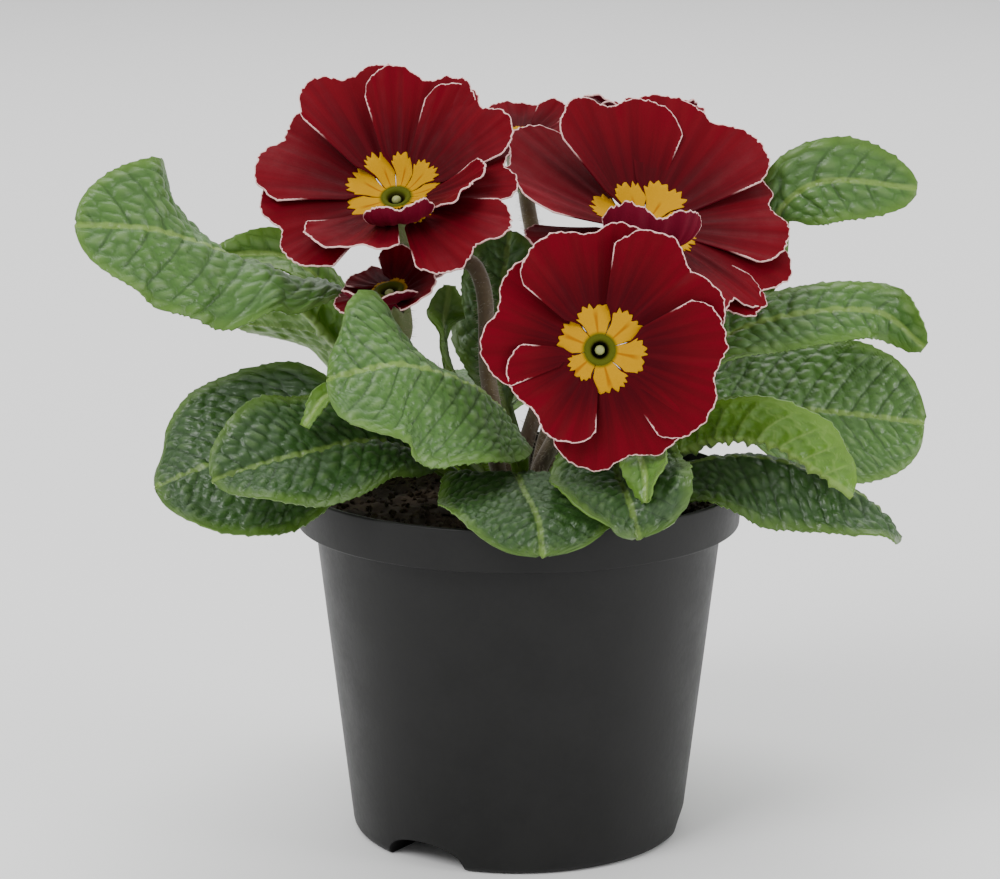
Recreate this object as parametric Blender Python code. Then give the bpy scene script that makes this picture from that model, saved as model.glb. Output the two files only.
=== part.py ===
"""A potted primrose: a rosette of puckered leaves and picotee blooms in a notched nursery pot.

Sizes are in millimetres and are turned to metres when each mesh is made. +Z is up, the origin is the
centre of the pot's base on the surface it stands on, and -Y is the front of the plant. Azimuths are in
degrees from the front, turning towards +X.
"""

import math

import bmesh
import bpy
import numpy as np
from mathutils import Matrix, Vector

MM = 0.001
GAP = 0.3
WELD = 0.003
CUT_REACH = 6.0

# The nursery pot
POT_HEIGHT = 84.0
RIM_RADIUS = 52.5
BASE_RADIUS = 39.1
SHOULDER_RADIUS = 47.7
COLLAR_HEIGHT = 9.8
COLLAR_TAPER = 0.7
FOOT_ROUND = 2.2
POT_WALL = 1.2
POT_SIDES = 40
SOIL_SIDES = 24

# The drainage pockets, which show as arches in the pot's lower edge
POCKET_AZIMUTHS = (-34.5, 85.5, 205.5)
POCKET_HALF_WIDTH = 10.6
POCKET_HEIGHT = 5.8
POCKET_INNER_RADIUS = 27.0
POCKET_SQUARENESS = 0.8
POCKET_SIDES = 7
DRAIN_RADIUS = 3.2
DRAIN_PLACE = 33.0
DRAIN_SIDES = 12

# The peat and the sockets that stems stand in
SOIL_EDGE = 76.0
SOIL_RINGS = (45.0, 38.0, 30.0, 22.0)
SOIL_MOUND = 2.0
SOIL_LUMP = 0.7
LUMP_WAVES = (0.55, 0.47, 0.31, 0.83)
SOCKET_FLOOR = 70.0
SOCKET_RADIUS = 2.5
SOCKET_SIDES = 8
FOOT_Z = SOCKET_FLOOR + GAP
CROWN_Z = 79.5

# Leaves
BLADE_THICKNESS = 0.8
PETIOLE_HALF_WIDTH = 1.6
PETIOLE_DEPTH = 2.8
PETIOLE_ROUND = 1.1
RIB_DEPTH = 1.5
TIP_HALF_WIDTH = 1.5
BLADE_FULLNESS = 0.45
RIPPLE_EDGE = 2.2
BLADE_START = 0.7
BLADE_OPENING = 0.25
TIP_SPACING = 1.25
AIM_POINT = np.array([0.0, 0.0, 260.0])

# Blooms
MOUTH_RADIUS = 3.0
TUBE_RADIUS = 2.1
BORE_RADIUS = 1.25
BORE_TOP = 2.2
TUBE_TOP = 3.2
TUBE_LENGTH = 13.0
PETAL_THICKNESS = 0.65
PETAL_COLUMNS = 6
PETAL_OVERLAP = 13.0
PETAL_PARTING = 0.7
PETAL_NOTCH = 0.09
NOTCH_WIDTH = 0.24
CORNER_ROUND = 0.2
OVERLAP_FROM = 0.3
RUFFLE = 0.6
RUFFLE_WAVES = 5.5
CURL_DELAY = 1.5
EYE_THICKNESS = 0.6
EYE_LIFT = 0.6
EYE_SHARE = 0.35
EYE_WIDTH = 0.97
LOBE_TAPER = 0.4
LOBE_NOTCH = 0.1
CURL_SHORTENS = 0.004
CURL_LIFTS = 0.006
EYE_COLUMNS = 4
STYLE_RADIUS = 0.5
STIGMA_RADIUS = 0.9
STIGMA_DEPTH = 0.6
PISTIL_SIDES = 6
STEM_RADIUS = 1.9
CALYX_SEAT = 1.6
CALYX_RIM = 9.4
CALYX_RADIUS = 3.9
CALYX_WALL = 0.7
CALYX_TOOTH = 3.2
CALYX_ANGLE = 0.3
STEM_SIDES = 10

LEAF_GREEN = ("leaf green", (0.075, 0.17, 0.03), 0.5)
STALK_GREEN = ("stalk green", (0.21, 0.17, 0.08), 0.6)
PETAL_RED = ("petal red", (0.33, 0.006, 0.018), 0.55)
EYE_YELLOW = ("eye yellow", (0.9, 0.55, 0.01), 0.5)
STIGMA_GREEN = ("stigma green", (0.55, 0.62, 0.22), 0.5)
POT_BLACK = ("pot black", (0.022, 0.022, 0.024), 0.45)
PEAT_BROWN = ("peat brown", (0.035, 0.022, 0.014), 0.95)


def clear_scene():
    for old in list(bpy.data.objects):
        bpy.data.objects.remove(old)


def material(name, colour, roughness):
    """A plain finish, made once and shared by every piece that has it."""
    made = bpy.data.materials.get(name) or bpy.data.materials.new(name)
    made.use_nodes = True
    shader = made.node_tree.nodes["Principled BSDF"]
    shader.inputs["Base Color"].default_value = (*colour, 1.0)
    shader.inputs["Roughness"].default_value = roughness
    shader.inputs["Metallic"].default_value = 0.0
    return made


def piece(name, points, faces, finish, place=(0, 0, 0)):
    """One named object from points in millimetres, with its origin at place."""
    mesh = bpy.data.meshes.new(name)
    local = (np.asarray(points, float) - np.asarray(place, float)) * MM
    mesh.from_pydata([tuple(p) for p in local], [], [tuple(f) for f in faces])
    mesh.shade_smooth()
    made = bpy.data.objects.new(name, mesh)
    made.location = Vector(place) * MM
    made.data.materials.append(material(*finish))
    bpy.context.scene.collection.objects.link(made)
    return made


def bake(target):
    """Applies the object's modifiers."""
    graph = bpy.context.evaluated_depsgraph_get()
    graph.update()
    made = bpy.data.meshes.new_from_object(target.evaluated_get(graph))
    target.modifiers.clear()
    shape = bmesh.new()
    shape.from_mesh(made)
    bmesh.ops.remove_doubles(shape, verts=shape.verts, dist=WELD * MM)
    bmesh.ops.dissolve_degenerate(shape, edges=shape.edges, dist=WELD * MM)
    shape.to_mesh(made)
    shape.free()
    target.data = made


def cut_or_join(target, other, operation):
    """A Boolean with another object, applied, after which the other is removed."""
    step = target.modifiers.new(operation.lower(), "BOOLEAN")
    step.operation = operation
    step.object = other
    bake(target)
    bpy.data.objects.remove(other)


def turned_profile(name, profile, sides, finish):
    """Spins radius and height pairs, which start and end on the axis, round the Z axis."""
    shape = bmesh.new()
    verts = [shape.verts.new((radius * MM, 0, height * MM)) for radius, height in profile]
    edges = [shape.edges.new(pair) for pair in zip(verts, verts[1:])]
    bmesh.ops.spin(
        shape, geom=verts + edges, cent=(0, 0, 0), axis=(0, 0, 1), angle=math.tau, steps=sides
    )
    bmesh.ops.remove_doubles(shape, verts=shape.verts, dist=0.01 * MM)
    bmesh.ops.recalc_face_normals(shape, faces=shape.faces)
    mesh = bpy.data.meshes.new(name)
    shape.to_mesh(mesh)
    shape.free()
    mesh.shade_smooth()
    mesh.set_sharp_from_angle(angle=math.radians(40))
    made = bpy.data.objects.new(name, mesh)
    made.data.materials.append(material(*finish))
    bpy.context.scene.collection.objects.link(made)
    return made


def prism(outline, depth, matrix):
    """A cutting or joining block: an outline in X and Z pushed along Y, then placed by a matrix."""
    shape = bmesh.new()
    verts = [shape.verts.new((x * MM, 0, z * MM)) for x, z in outline]
    face = shape.faces.new(verts)
    pushed = bmesh.ops.extrude_face_region(shape, geom=[face])["geom"]
    moved = [v for v in pushed if isinstance(v, bmesh.types.BMVert)]
    bmesh.ops.translate(shape, vec=(0, -depth * MM, 0), verts=moved)
    bmesh.ops.recalc_face_normals(shape, faces=shape.faces)
    mesh = bpy.data.meshes.new("block")
    shape.to_mesh(mesh)
    shape.free()
    made = bpy.data.objects.new("block", mesh)
    made.matrix_world = matrix
    bpy.context.scene.collection.objects.link(made)
    return made


def column(radius, low, high, sides, x, y):
    """An upright round cutter."""
    shape = bmesh.new()
    bmesh.ops.create_cone(
        shape,
        cap_ends=True,
        segments=sides,
        radius1=radius * MM,
        radius2=radius * MM,
        depth=(high - low) * MM,
        matrix=Matrix.Translation(Vector((x, y, (low + high) / 2)) * MM),
    )
    mesh = bpy.data.meshes.new("column")
    shape.to_mesh(mesh)
    shape.free()
    made = bpy.data.objects.new("column", mesh)
    bpy.context.scene.collection.objects.link(made)
    return made


def wall_radius(height):
    """The pot's outer radius below its collar."""
    low, high = FOOT_ROUND, POT_HEIGHT - COLLAR_HEIGHT
    return BASE_RADIUS + (SHOULDER_RADIUS - BASE_RADIUS) * (height - low) / (high - low)


def pocket_outline(grow):
    """The arch of a drainage pocket, enlarged by grow all round, with its feet below the base."""
    wide = POCKET_HALF_WIDTH + grow
    tall = POCKET_HEIGHT + grow
    arch = [
        (wide * math.cos(angle), tall * math.sin(angle) ** POCKET_SQUARENESS)
        for angle in np.linspace(0, math.pi, POCKET_SIDES + 1)
    ]
    return [(wide, -POT_WALL)] + arch + [(-wide, -POT_WALL)]


def pocket_block(azimuth, grow, reach):
    """The pocket as a block from its inner end, past which it grows, out to a radius of reach."""
    start = POCKET_INNER_RADIUS - grow
    turn = Matrix.Rotation(math.radians(azimuth), 4, "Z")
    return prism(
        pocket_outline(grow), reach - start, turn @ Matrix.Translation(Vector((0, -start, 0)) * MM)
    )


def make_pot():
    """The thin pot with its collar, its three raised pockets and their drain holes."""
    shoulder = POT_HEIGHT - COLLAR_HEIGHT
    inside = RIM_RADIUS - POT_WALL
    profile = [
        (0, 0),
        (BASE_RADIUS - FOOT_ROUND, 0),
        (BASE_RADIUS - FOOT_ROUND / 3, FOOT_ROUND / 3),
        (BASE_RADIUS, FOOT_ROUND),
        (SHOULDER_RADIUS, shoulder),
        (RIM_RADIUS - COLLAR_TAPER, shoulder),
        (RIM_RADIUS, POT_HEIGHT),
        (inside, POT_HEIGHT),
        (inside - COLLAR_TAPER, shoulder + POT_WALL),
        (SHOULDER_RADIUS - POT_WALL, shoulder + POT_WALL),
        (BASE_RADIUS - POT_WALL, FOOT_ROUND + POT_WALL),
        (BASE_RADIUS - FOOT_ROUND, POT_WALL),
        (0, POT_WALL),
    ]
    pot = turned_profile("pot", profile, POT_SIDES, POT_BLACK)
    for azimuth in POCKET_AZIMUTHS:
        raised = pocket_block(azimuth, POT_WALL, BASE_RADIUS + CUT_REACH)
        inside_wall = column(
            BASE_RADIUS - POT_WALL / 2, POT_WALL / 2, POCKET_HEIGHT + CUT_REACH, POT_SIDES, 0, 0
        )
        cut_or_join(raised, inside_wall, "INTERSECT")
        cut_or_join(pot, raised, "UNION")
    for azimuth in POCKET_AZIMUTHS:
        cut_or_join(pot, pocket_block(azimuth, 0, BASE_RADIUS + CUT_REACH), "DIFFERENCE")
        angle = math.radians(azimuth)
        drain = column(
            DRAIN_RADIUS, POCKET_HEIGHT - POT_WALL, POCKET_HEIGHT + 2 * POT_WALL, DRAIN_SIDES,
            DRAIN_PLACE * math.sin(angle), -DRAIN_PLACE * math.cos(angle),
        )
        cut_or_join(pot, drain, "DIFFERENCE")
    return pot


def soil_height(x, y):
    """The peat's lumpy top, a little higher round the crown."""
    far = np.hypot(x, y) / RIM_RADIUS
    first, second, third, fourth = LUMP_WAVES
    lumps = np.sin(first * x + 1) * np.cos(second * y) + np.sin(third * x + fourth * y) / 2
    return SOIL_EDGE + SOIL_MOUND * (1 - far**2) + SOIL_LUMP * lumps * min(1, 4 * (1 - far))


def make_soil(feet):
    """The peat, clear of the pot by a hair all round, with a socket for every stem."""
    shoulder = POT_HEIGHT - COLLAR_HEIGHT + POT_WALL + GAP
    inside = RIM_RADIUS - POT_WALL - COLLAR_TAPER - GAP
    clear = POT_WALL + GAP * 1.1
    profile = [
        (0, POT_WALL + GAP),
        (BASE_RADIUS - FOOT_ROUND - clear, POT_WALL + GAP),
        (BASE_RADIUS - clear, FOOT_ROUND + clear),
        (SHOULDER_RADIUS - clear, shoulder),
        (inside, shoulder),
        (inside, SOIL_EDGE),
        *[(ring, SOIL_EDGE) for ring in SOIL_RINGS],
        (0, SOIL_EDGE),
    ]
    soil = turned_profile("soil", profile, SOIL_SIDES, PEAT_BROWN)
    for vert in soil.data.vertices:
        x, y, z = (c / MM for c in vert.co)
        if z > SOIL_EDGE - GAP:
            vert.co.z = soil_height(x, y) * MM
    for azimuth in POCKET_AZIMUTHS:
        cut_or_join(soil, pocket_block(azimuth, POT_WALL + GAP, BASE_RADIUS + CUT_REACH), "DIFFERENCE")
    for x, y in feet:
        socket = column(SOCKET_RADIUS, SOCKET_FLOOR, CROWN_Z + CUT_REACH, SOCKET_SIDES, x, y)
        cut_or_join(soil, socket, "DIFFERENCE")
    return soil


def unit(vectors):
    vectors = np.asarray(vectors, float)
    return vectors / np.linalg.norm(vectors, axis=-1, keepdims=True)


def blend(values, share):
    """A smooth run through values spread evenly from base to tip."""
    values = np.atleast_1d(np.asarray(values, float))
    if len(values) == 1:
        return np.full(np.shape(share), values[0])
    place = np.clip(share, 0, 1) * (len(values) - 1)
    low = np.minimum(place.astype(int), len(values) - 2)
    part = place - low
    part = part * part * (3 - 2 * part)
    return values[low] * (1 - part) + values[low + 1] * part


def smooth_path(points, first, last, shares):
    """Places and directions at these shares of the length of a smooth curve through the points.
    first and last are the directions at its ends, and last may be None."""
    points = np.asarray(points, float)
    steps = np.diff(points, axis=0)
    spans = np.linalg.norm(steps, axis=1)
    slopes = np.empty_like(points)
    slopes[1:-1] = (points[2:] - points[:-2]) / (spans[1:] + spans[:-1])[:, None]
    slopes[0] = unit(first)
    slopes[-1] = unit(steps[-1]) if last is None else unit(last)
    fine = []
    for i, span in enumerate(spans):
        t = np.linspace(0, 1, 24, endpoint=False)[:, None]
        fine.append(
            (2 * t**3 - 3 * t**2 + 1) * points[i]
            + (t**3 - 2 * t**2 + t) * span * slopes[i]
            + (3 * t**2 - 2 * t**3) * points[i + 1]
            + (t**3 - t**2) * span * slopes[i + 1]
        )
    fine = np.vstack([*fine, points[-1:]])
    run = np.concatenate([[0], np.cumsum(np.linalg.norm(np.diff(fine, axis=0), axis=1))])
    want = np.asarray(shares) * run[-1]
    places, ahead, behind = (
        np.column_stack([np.interp(want + step, run, fine[:, k]) for k in range(3)])
        for step in (0, 0.5, -0.5)
    )
    return places, unit(ahead - behind)


def turned(vectors, axes, degrees):
    """Vectors turned about their axes, by one angle for each."""
    angle = np.radians(degrees)[:, None]
    along = (vectors * axes).sum(1)[:, None]
    swung = vectors * np.cos(angle) + np.cross(axes, vectors) * np.sin(angle)
    return swung + axes * along * (1 - np.cos(angle))


def half_arc(across, lift, curl, reach):
    """How far out and up a strip gets that starts at lift degrees and bends by curl over its reach."""
    start = np.radians(lift)
    turn = np.radians(curl) * across / reach
    turn = np.where(np.abs(turn) < 1e-4, 1e-4, turn)
    radius = across / turn
    out = radius * (np.sin(start + turn) - np.sin(start))
    up = radius * (np.cos(start) - np.cos(start + turn))
    return out, up, start + turn


def blade_width(share, widest, stalk, peak, wing):
    """Half a primrose leaf's width: a winged stalk, then a blunt oval that is widest at its peak."""
    blade = np.clip((share - stalk) / (1 - stalk), 0, 0.9999)
    oval = np.sin(np.pi * blade ** (math.log(0.5) / math.log(peak))) ** BLADE_FULLNESS
    winged = PETIOLE_HALF_WIDTH + (wing - PETIOLE_HALF_WIDTH) * np.clip(share / stalk, 0, 1) ** 1.5
    return np.maximum(np.maximum(winged * (1 - blade) ** 0.5, widest * oval), TIP_HALF_WIDTH)


def closed_shell(top, bottom):
    """Points and faces of a solid between two grids of the same size, split alike on both sides."""
    rows, columns = top.shape[:2]
    points = np.vstack([top.reshape(-1, 3), bottom.reshape(-1, 3)])
    under = rows * columns
    faces = []
    for i in range(rows - 1):
        for j in range(columns - 1):
            a = i * columns + j
            b, c, d = a + 1, a + columns, a + columns + 1
            split = ((a, d, c), (a, b, d)) if j < (columns - 1) / 2 else ((a, b, c), (b, d, c))
            faces += split
            faces += [tuple(under + k for k in reversed(face)) for face in split]
    edge = [i * columns for i in range(rows)]
    edge += [(rows - 1) * columns + j for j in range(1, columns)]
    edge += [i * columns + columns - 1 for i in range(rows - 2, -1, -1)]
    edge += [j for j in range(columns - 2, 0, -1)]
    for a, b in zip(edge, edge[1:] + edge[:1]):
        faces += [(a, b, b + under), (a, b + under, a + under)]
    return points, faces


def leaf(name, foot, way, wide, roll=0, left=(0, 0), right=(0, 0), stalk=0.25, peak=0.6,
         wing=2.4, wave=1.2, waves=2.5, phase=0.0, pucker=0.5, rows=10, columns=6):
    """A leaf that stands in its socket at foot and follows way. wide is half its width. left and right
    are each side's lift and curl in degrees, as seen from the crown, each one value or several from
    base to tip. roll turns the blade about its midrib."""
    shares = 1 - (1 - np.linspace(0, 1, rows + 1)) ** TIP_SPACING
    start = np.array([foot[0], foot[1], CROWN_Z])
    places, forward = smooth_path([start, *way], (0, 0, 1), None, shares)
    facing = AIM_POINT - places
    facing = unit(facing - (facing * forward).sum(1)[:, None] * forward)
    facing = turned(facing, forward, blend(roll, shares))
    beside = np.cross(forward, facing)
    half = blade_width(shares, wide, stalk, peak, wing)
    zigzag = np.cos(np.pi * np.arange(rows + 1))
    grow = np.clip((shares - stalk * BLADE_START) / BLADE_OPENING, 0, 1)
    top = np.zeros((rows + 1, columns + 1, 3))
    bottom = np.zeros_like(top)
    for j, side in enumerate(np.linspace(-1, 1, columns + 1)):
        lift, curl = left if side < 0 else right
        out, up, slope = half_arc(
            abs(side) * half + 1e-6, blend(lift, shares) * grow, blend(curl, shares) * grow, half
        )
        ripple = wave * abs(side) ** RIPPLE_EDGE * np.sin(2 * np.pi * waves * shares + phase + (side > 0))
        quilt = pucker * 4 * abs(side) * (1 - abs(side)) * zigzag
        up = up + (ripple + quilt) * grow
        hand = np.sign(side)
        top[:, j] = places + beside * (hand * out)[:, None] + facing * up[:, None]
        normal = facing * np.cos(slope)[:, None] - hand * beside * np.sin(slope)[:, None]
        stem = (PETIOLE_DEPTH - PETIOLE_ROUND * abs(side) - BLADE_THICKNESS) * (1 - grow)
        rib = RIB_DEPTH * (1 - shares) * grow if side == 0 else 0
        bottom[:, j] = top[:, j] - normal * (BLADE_THICKNESS + stem + rib)[:, None]
    top = np.concatenate([top[:1], top])
    bottom = np.concatenate([bottom[:1], bottom])
    middle = (top[0].mean(0) + bottom[0].mean(0)) / 2
    shift = np.array([foot[0] - middle[0], foot[1] - middle[1], 0])
    for grid in (top, bottom):
        grid[:2] += shift
        grid[0, :, 2] = FOOT_Z
    return piece(name, *closed_shell(top, bottom), LEAF_GREEN, (*foot, FOOT_Z))


def petal_run(far, long, rise, curl):
    """Distance from the bloom's axis, height and slope after each distance far along a petal."""
    fine = np.linspace(0, max(long, float(np.max(far))) - MOUTH_RADIUS, 60)
    bent = (fine / (long - MOUTH_RADIUS)) ** CURL_DELAY
    slope = np.radians(rise * np.clip(fine / MOUTH_RADIUS, 0, 1) + curl * bent)
    steps = np.diff(fine)
    middle = (slope[1:] + slope[:-1]) / 2
    radius = MOUTH_RADIUS + np.concatenate([[0], np.cumsum(np.cos(middle) * steps)])
    height = np.concatenate([[0], np.cumsum(np.sin(middle) * steps)])
    want = np.asarray(far) - MOUTH_RADIUS
    return (np.interp(want, fine, g) for g in (radius, height, slope))


def shares_of_circle(plan):
    """How far each petal reaches to its two neighbours: half of each angle between them."""
    count = len(plan)
    ahead = [(plan[(k + 1) % count][0] - plan[k][0]) % 360 / 2 for k in range(count)]
    return [(ahead[k - 1], ahead[k]) for k in range(count)]


def petal_points(petal, halves, far, side, above=0.0):
    """Points on one petal's upper face, above it by a little where asked, at distances far from the
    mouth's centre and at side from -1 to 1 across it."""
    azimuth, long, rise, curl, fan = petal
    radius, height, slope = petal_run(far, long, rise, curl)
    share = np.clip((far - MOUTH_RADIUS) / (long - MOUTH_RADIUS), 0, 1)
    base = np.where(np.asarray(side) < 0, halves[0], halves[1])
    parting = PETAL_PARTING * np.sin(np.pi * np.minimum(share * 6, 1))
    outer = np.clip((share - OVERLAP_FROM) / OVERLAP_FROM, 0, 1)
    spread = np.radians(base + PETAL_OVERLAP * outer - parting)
    swing = spread * side * (far / radius) ** (outer / 2)
    tilt = np.tan(np.radians(fan)) * far * np.sin(spread * side) * np.clip(share * 4, 0, 1)
    ruffle = RUFFLE * share**2 * np.sin(RUFFLE_WAVES * side + azimuth)
    off = tilt + ruffle + above
    angle = np.radians(azimuth) + swing
    across = radius - off * np.sin(slope)
    return np.stack([across * np.cos(angle), across * np.sin(angle), height + off * np.cos(slope)], -1)


def petal_edge(long, side):
    """How far a petal reaches: heart shaped, with a shallow notch at its middle."""
    side = np.abs(side)
    return long * (1 - CORNER_ROUND * side**4 - PETAL_NOTCH * np.exp(-((side / NOTCH_WIDTH) ** 2)))


def ring(radius, height, angles):
    """A circle of points round the bloom's axis at these angles."""
    angles = np.radians(angles)
    return np.stack([radius * np.cos(angles), radius * np.sin(angles), np.full(len(angles), height)], -1)


def petals(name, plan, rows, frame):
    """The corolla: a tube that opens into petals, each of which lies a little over the next."""
    inner = len(plan) * PETAL_COLUMNS
    sides = np.linspace(-1, 1, PETAL_COLUMNS + 1)
    points, faces = [], []

    def add(new):
        points.extend(np.reshape(new, (-1, 3)))
        return list(range(len(points) - len(np.reshape(new, (-1, 3))), len(points)))

    halves = shares_of_circle(plan)
    angles = np.concatenate([
        petal[0] + np.where(sides < 0, before, after)[:-1] * sides[:-1]
        for petal, (before, after) in zip(plan, halves)
    ])
    mouth = add(ring(MOUTH_RADIUS, 0, angles))
    under = add(ring(MOUTH_RADIUS, -PETAL_THICKNESS, angles))
    narrow = inner // 3
    even = angles[0] + np.arange(narrow) * 360 / narrow
    bore_top = add(ring(BORE_RADIUS, -BORE_TOP, even))
    bore_end = add(ring(BORE_RADIUS, -TUBE_LENGTH, even))
    tube_top = add(ring(TUBE_RADIUS, -TUBE_TOP, even))
    tube_end = add(ring(TUBE_RADIUS, -TUBE_LENGTH, even))

    def bridge(wide, thin, flip):
        for k in range(narrow):
            a, b, c, d = (wide[(3 * k + n) % inner] for n in range(4))
            e, f = thin[k], thin[(k + 1) % narrow]
            for face in ((a, b, e), (b, f, e), (b, c, f), (c, d, f)):
                faces.append(tuple(reversed(face)) if flip else face)

    def quads(first, second):
        for k in range(narrow):
            n = (k + 1) % narrow
            faces.extend([(first[k], first[n], second[n]), (first[k], second[n], second[k])])

    bridge(mouth, bore_top, False)
    bridge(under, tube_top, True)
    quads(bore_top, bore_end)
    quads(bore_end, tube_end)
    quads(tube_end, tube_top)
    for k, petal in enumerate(plan):
        top = [[mouth[(k * PETAL_COLUMNS + j) % inner] for j in range(PETAL_COLUMNS + 1)]]
        low = [[under[(k * PETAL_COLUMNS + j) % inner] for j in range(PETAL_COLUMNS + 1)]]
        for share in np.linspace(0, 1, rows + 1)[1:]:
            far = MOUTH_RADIUS + (petal_edge(petal[1], sides) - MOUTH_RADIUS) * share
            top.append(add(petal_points(petal, halves[k], far, sides)))
            low.append(add(petal_points(petal, halves[k], far, sides, -PETAL_THICKNESS)))
        for i in range(rows):
            for j in range(PETAL_COLUMNS):
                a, b, c, d = top[i][j], top[i][j + 1], top[i + 1][j], top[i + 1][j + 1]
                e, f, g, h = low[i][j], low[i][j + 1], low[i + 1][j], low[i + 1][j + 1]
                if j < PETAL_COLUMNS / 2:
                    faces.extend([(a, c, d), (a, d, b), (e, h, g), (e, f, h)])
                else:
                    faces.extend([(a, c, b), (b, c, d), (e, f, g), (f, h, g)])
        rim_top = [r[0] for r in top] + top[-1][1:] + [r[-1] for r in top[-2::-1]]
        rim_low = [r[0] for r in low] + low[-1][1:] + [r[-1] for r in low[-2::-1]]
        for a, b, c, d in zip(rim_top, rim_top[1:], rim_low, rim_low[1:]):
            faces.extend([(a, d, b), (a, c, d)])
    made = piece(name, points, faces, PETAL_RED)
    made.parent = frame
    return made


def eye(name, plan, frame):
    """The star of yellow lobes round the mouth, one lobe lying on each petal."""
    halves = shares_of_circle(plan)
    columns = len(plan) * EYE_COLUMNS
    top = np.zeros((columns, 2, 3))
    low = np.zeros_like(top)
    for k, petal in enumerate(plan):
        for j in range(EYE_COLUMNS):
            side = -1 + 2 * j / EYE_COLUMNS
            lobe = 1 - LOBE_TAPER * abs(side) ** 3 - LOBE_NOTCH * (side == 0)
            reach = EYE_SHARE * petal[1] * (1 - CURL_SHORTENS * max(petal[3], 0))
            lift = EYE_LIFT + CURL_LIFTS * max(petal[3], 0)
            far = np.array([MOUTH_RADIUS, max(reach * lobe, MOUTH_RADIUS * 1.5)])
            for grid, above in ((low, lift), (top, lift + EYE_THICKNESS)):
                place = petal_points(petal, halves[k], far, np.full(2, side * EYE_WIDTH), above)
                if j == 0:
                    other = petal_points(plan[k - 1], halves[k - 1], far, np.full(2, EYE_WIDTH), above)
                    place = np.where(place[:, 2:] > other[:, 2:], place, other)
                grid[k * EYE_COLUMNS + j] = place
    faces = []
    total = columns * 2
    for k in range(columns):
        a, b = 2 * k, 2 * k + 1
        c, d = 2 * ((k + 1) % columns), 2 * ((k + 1) % columns) + 1
        faces += [(a, b, d), (a, d, c), (a + total, d + total, b + total), (a + total, c + total, d + total)]
        faces += [(b, b + total, d + total), (b, d + total, d)]
        faces += [(a, c + total, a + total), (a, c, c + total)]
    points = np.vstack([top.reshape(-1, 3), low.reshape(-1, 3)])
    made = piece(name, points, faces, EYE_YELLOW)
    made.parent = frame
    return made


def pistil(name, frame):
    """The style up the middle of the tube with its round stigma."""
    foot = -TUBE_LENGTH - GAP / 2
    neck = math.acos(STYLE_RADIUS / STIGMA_RADIUS)
    profile = [(0, foot), (STYLE_RADIUS, foot)]
    for tip in np.linspace(-neck, neck, 3):
        profile.append((STIGMA_RADIUS * math.cos(tip), -STIGMA_DEPTH + STIGMA_RADIUS * math.sin(tip)))
    profile.append((0, STIGMA_RADIUS - STIGMA_DEPTH))
    made = turned_profile(name, profile, PISTIL_SIDES, STIGMA_GREEN)
    made.parent = frame
    return made


def stem(name, foot, way, mouth, axis):
    """The flower stem from its socket, which ends in a five-angled calyx cup round the tube."""
    base = mouth - axis * (TUBE_LENGTH + CALYX_SEAT)
    start = np.array([foot[0], foot[1], CROWN_Z])
    places, forward = smooth_path([start, *way, base], (0, 0, 1), axis, np.linspace(0, 1, 8))
    rings = [(np.array([foot[0], foot[1], FOOT_Z]), np.array([0, 0, 1.0]), STEM_RADIUS, 0, 0)]
    rings += [(place, ahead, STEM_RADIUS, 0, 0) for place, ahead in zip(places, forward)]
    # The cup: height above its base, radius, how angled it is and how far its teeth stand up
    cup = [
        (STEM_RADIUS, CALYX_RADIUS - CALYX_WALL, CALYX_ANGLE, 0),
        (CALYX_RIM, CALYX_RADIUS, CALYX_ANGLE, CALYX_TOOTH),
        (CALYX_RIM, CALYX_RADIUS - CALYX_WALL, CALYX_ANGLE, CALYX_TOOTH),
        (CALYX_SEAT * 2, CALYX_RADIUS - CALYX_WALL * 2, CALYX_ANGLE, 0),
        (CALYX_SEAT - GAP, TUBE_RADIUS + GAP, 0, 0),
    ]
    rings += [(base + axis * height, axis, *rest) for height, *rest in cup]
    across = np.array([1.0, 0, 0])
    points = []
    for place, ahead, radius, angled, tooth in rings:
        across = unit(across - ahead * (across * ahead).sum())
        beside = np.cross(ahead, across)
        for side in range(STEM_SIDES):
            angle = side * math.tau / STEM_SIDES
            ridge = side % 2 == 0
            out = radius + (angled if ridge else -angled)
            up = tooth if ridge else 0
            points.append(place + (across * math.cos(angle) + beside * math.sin(angle)) * out + ahead * up)
    last = (len(rings) - 1) * STEM_SIDES
    faces = [tuple(reversed(range(STEM_SIDES))), tuple(last + side for side in range(STEM_SIDES))]
    for start_of_ring in range(0, last, STEM_SIDES):
        for side in range(STEM_SIDES):
            a, b = start_of_ring + side, start_of_ring + (side + 1) % STEM_SIDES
            faces += [(a, b, b + STEM_SIDES), (a, b + STEM_SIDES, a + STEM_SIDES)]
    return piece(name, points, faces, STALK_GREEN, (foot[0], foot[1], FOOT_Z))


def bloom(name, foot, way, mouth, axis, plan, rows=4):
    """One flower: its petals, eye and pistil share a frame at the mouth, and its stem carries it."""
    axis = unit(axis)
    mouth = np.asarray(mouth, float)
    frame = bpy.data.objects.new(name, None)
    frame.location = Vector(mouth) * MM
    frame.rotation_euler = Vector(axis).to_track_quat("Z", "Y").to_euler()
    bpy.context.scene.collection.objects.link(frame)
    petals(f"{name}_petals", plan, rows, frame)
    eye(f"{name}_eye", plan, frame)
    pistil(f"{name}_pistil", frame)
    stem(f"{name}_stem", foot, way, mouth, axis)


def even_petals(count, first, long, rise, curl, fan):
    """Petals of one kind all round."""
    return [(first + k * 360 / count, long, rise, curl, fan) for k in range(count)]


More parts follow.
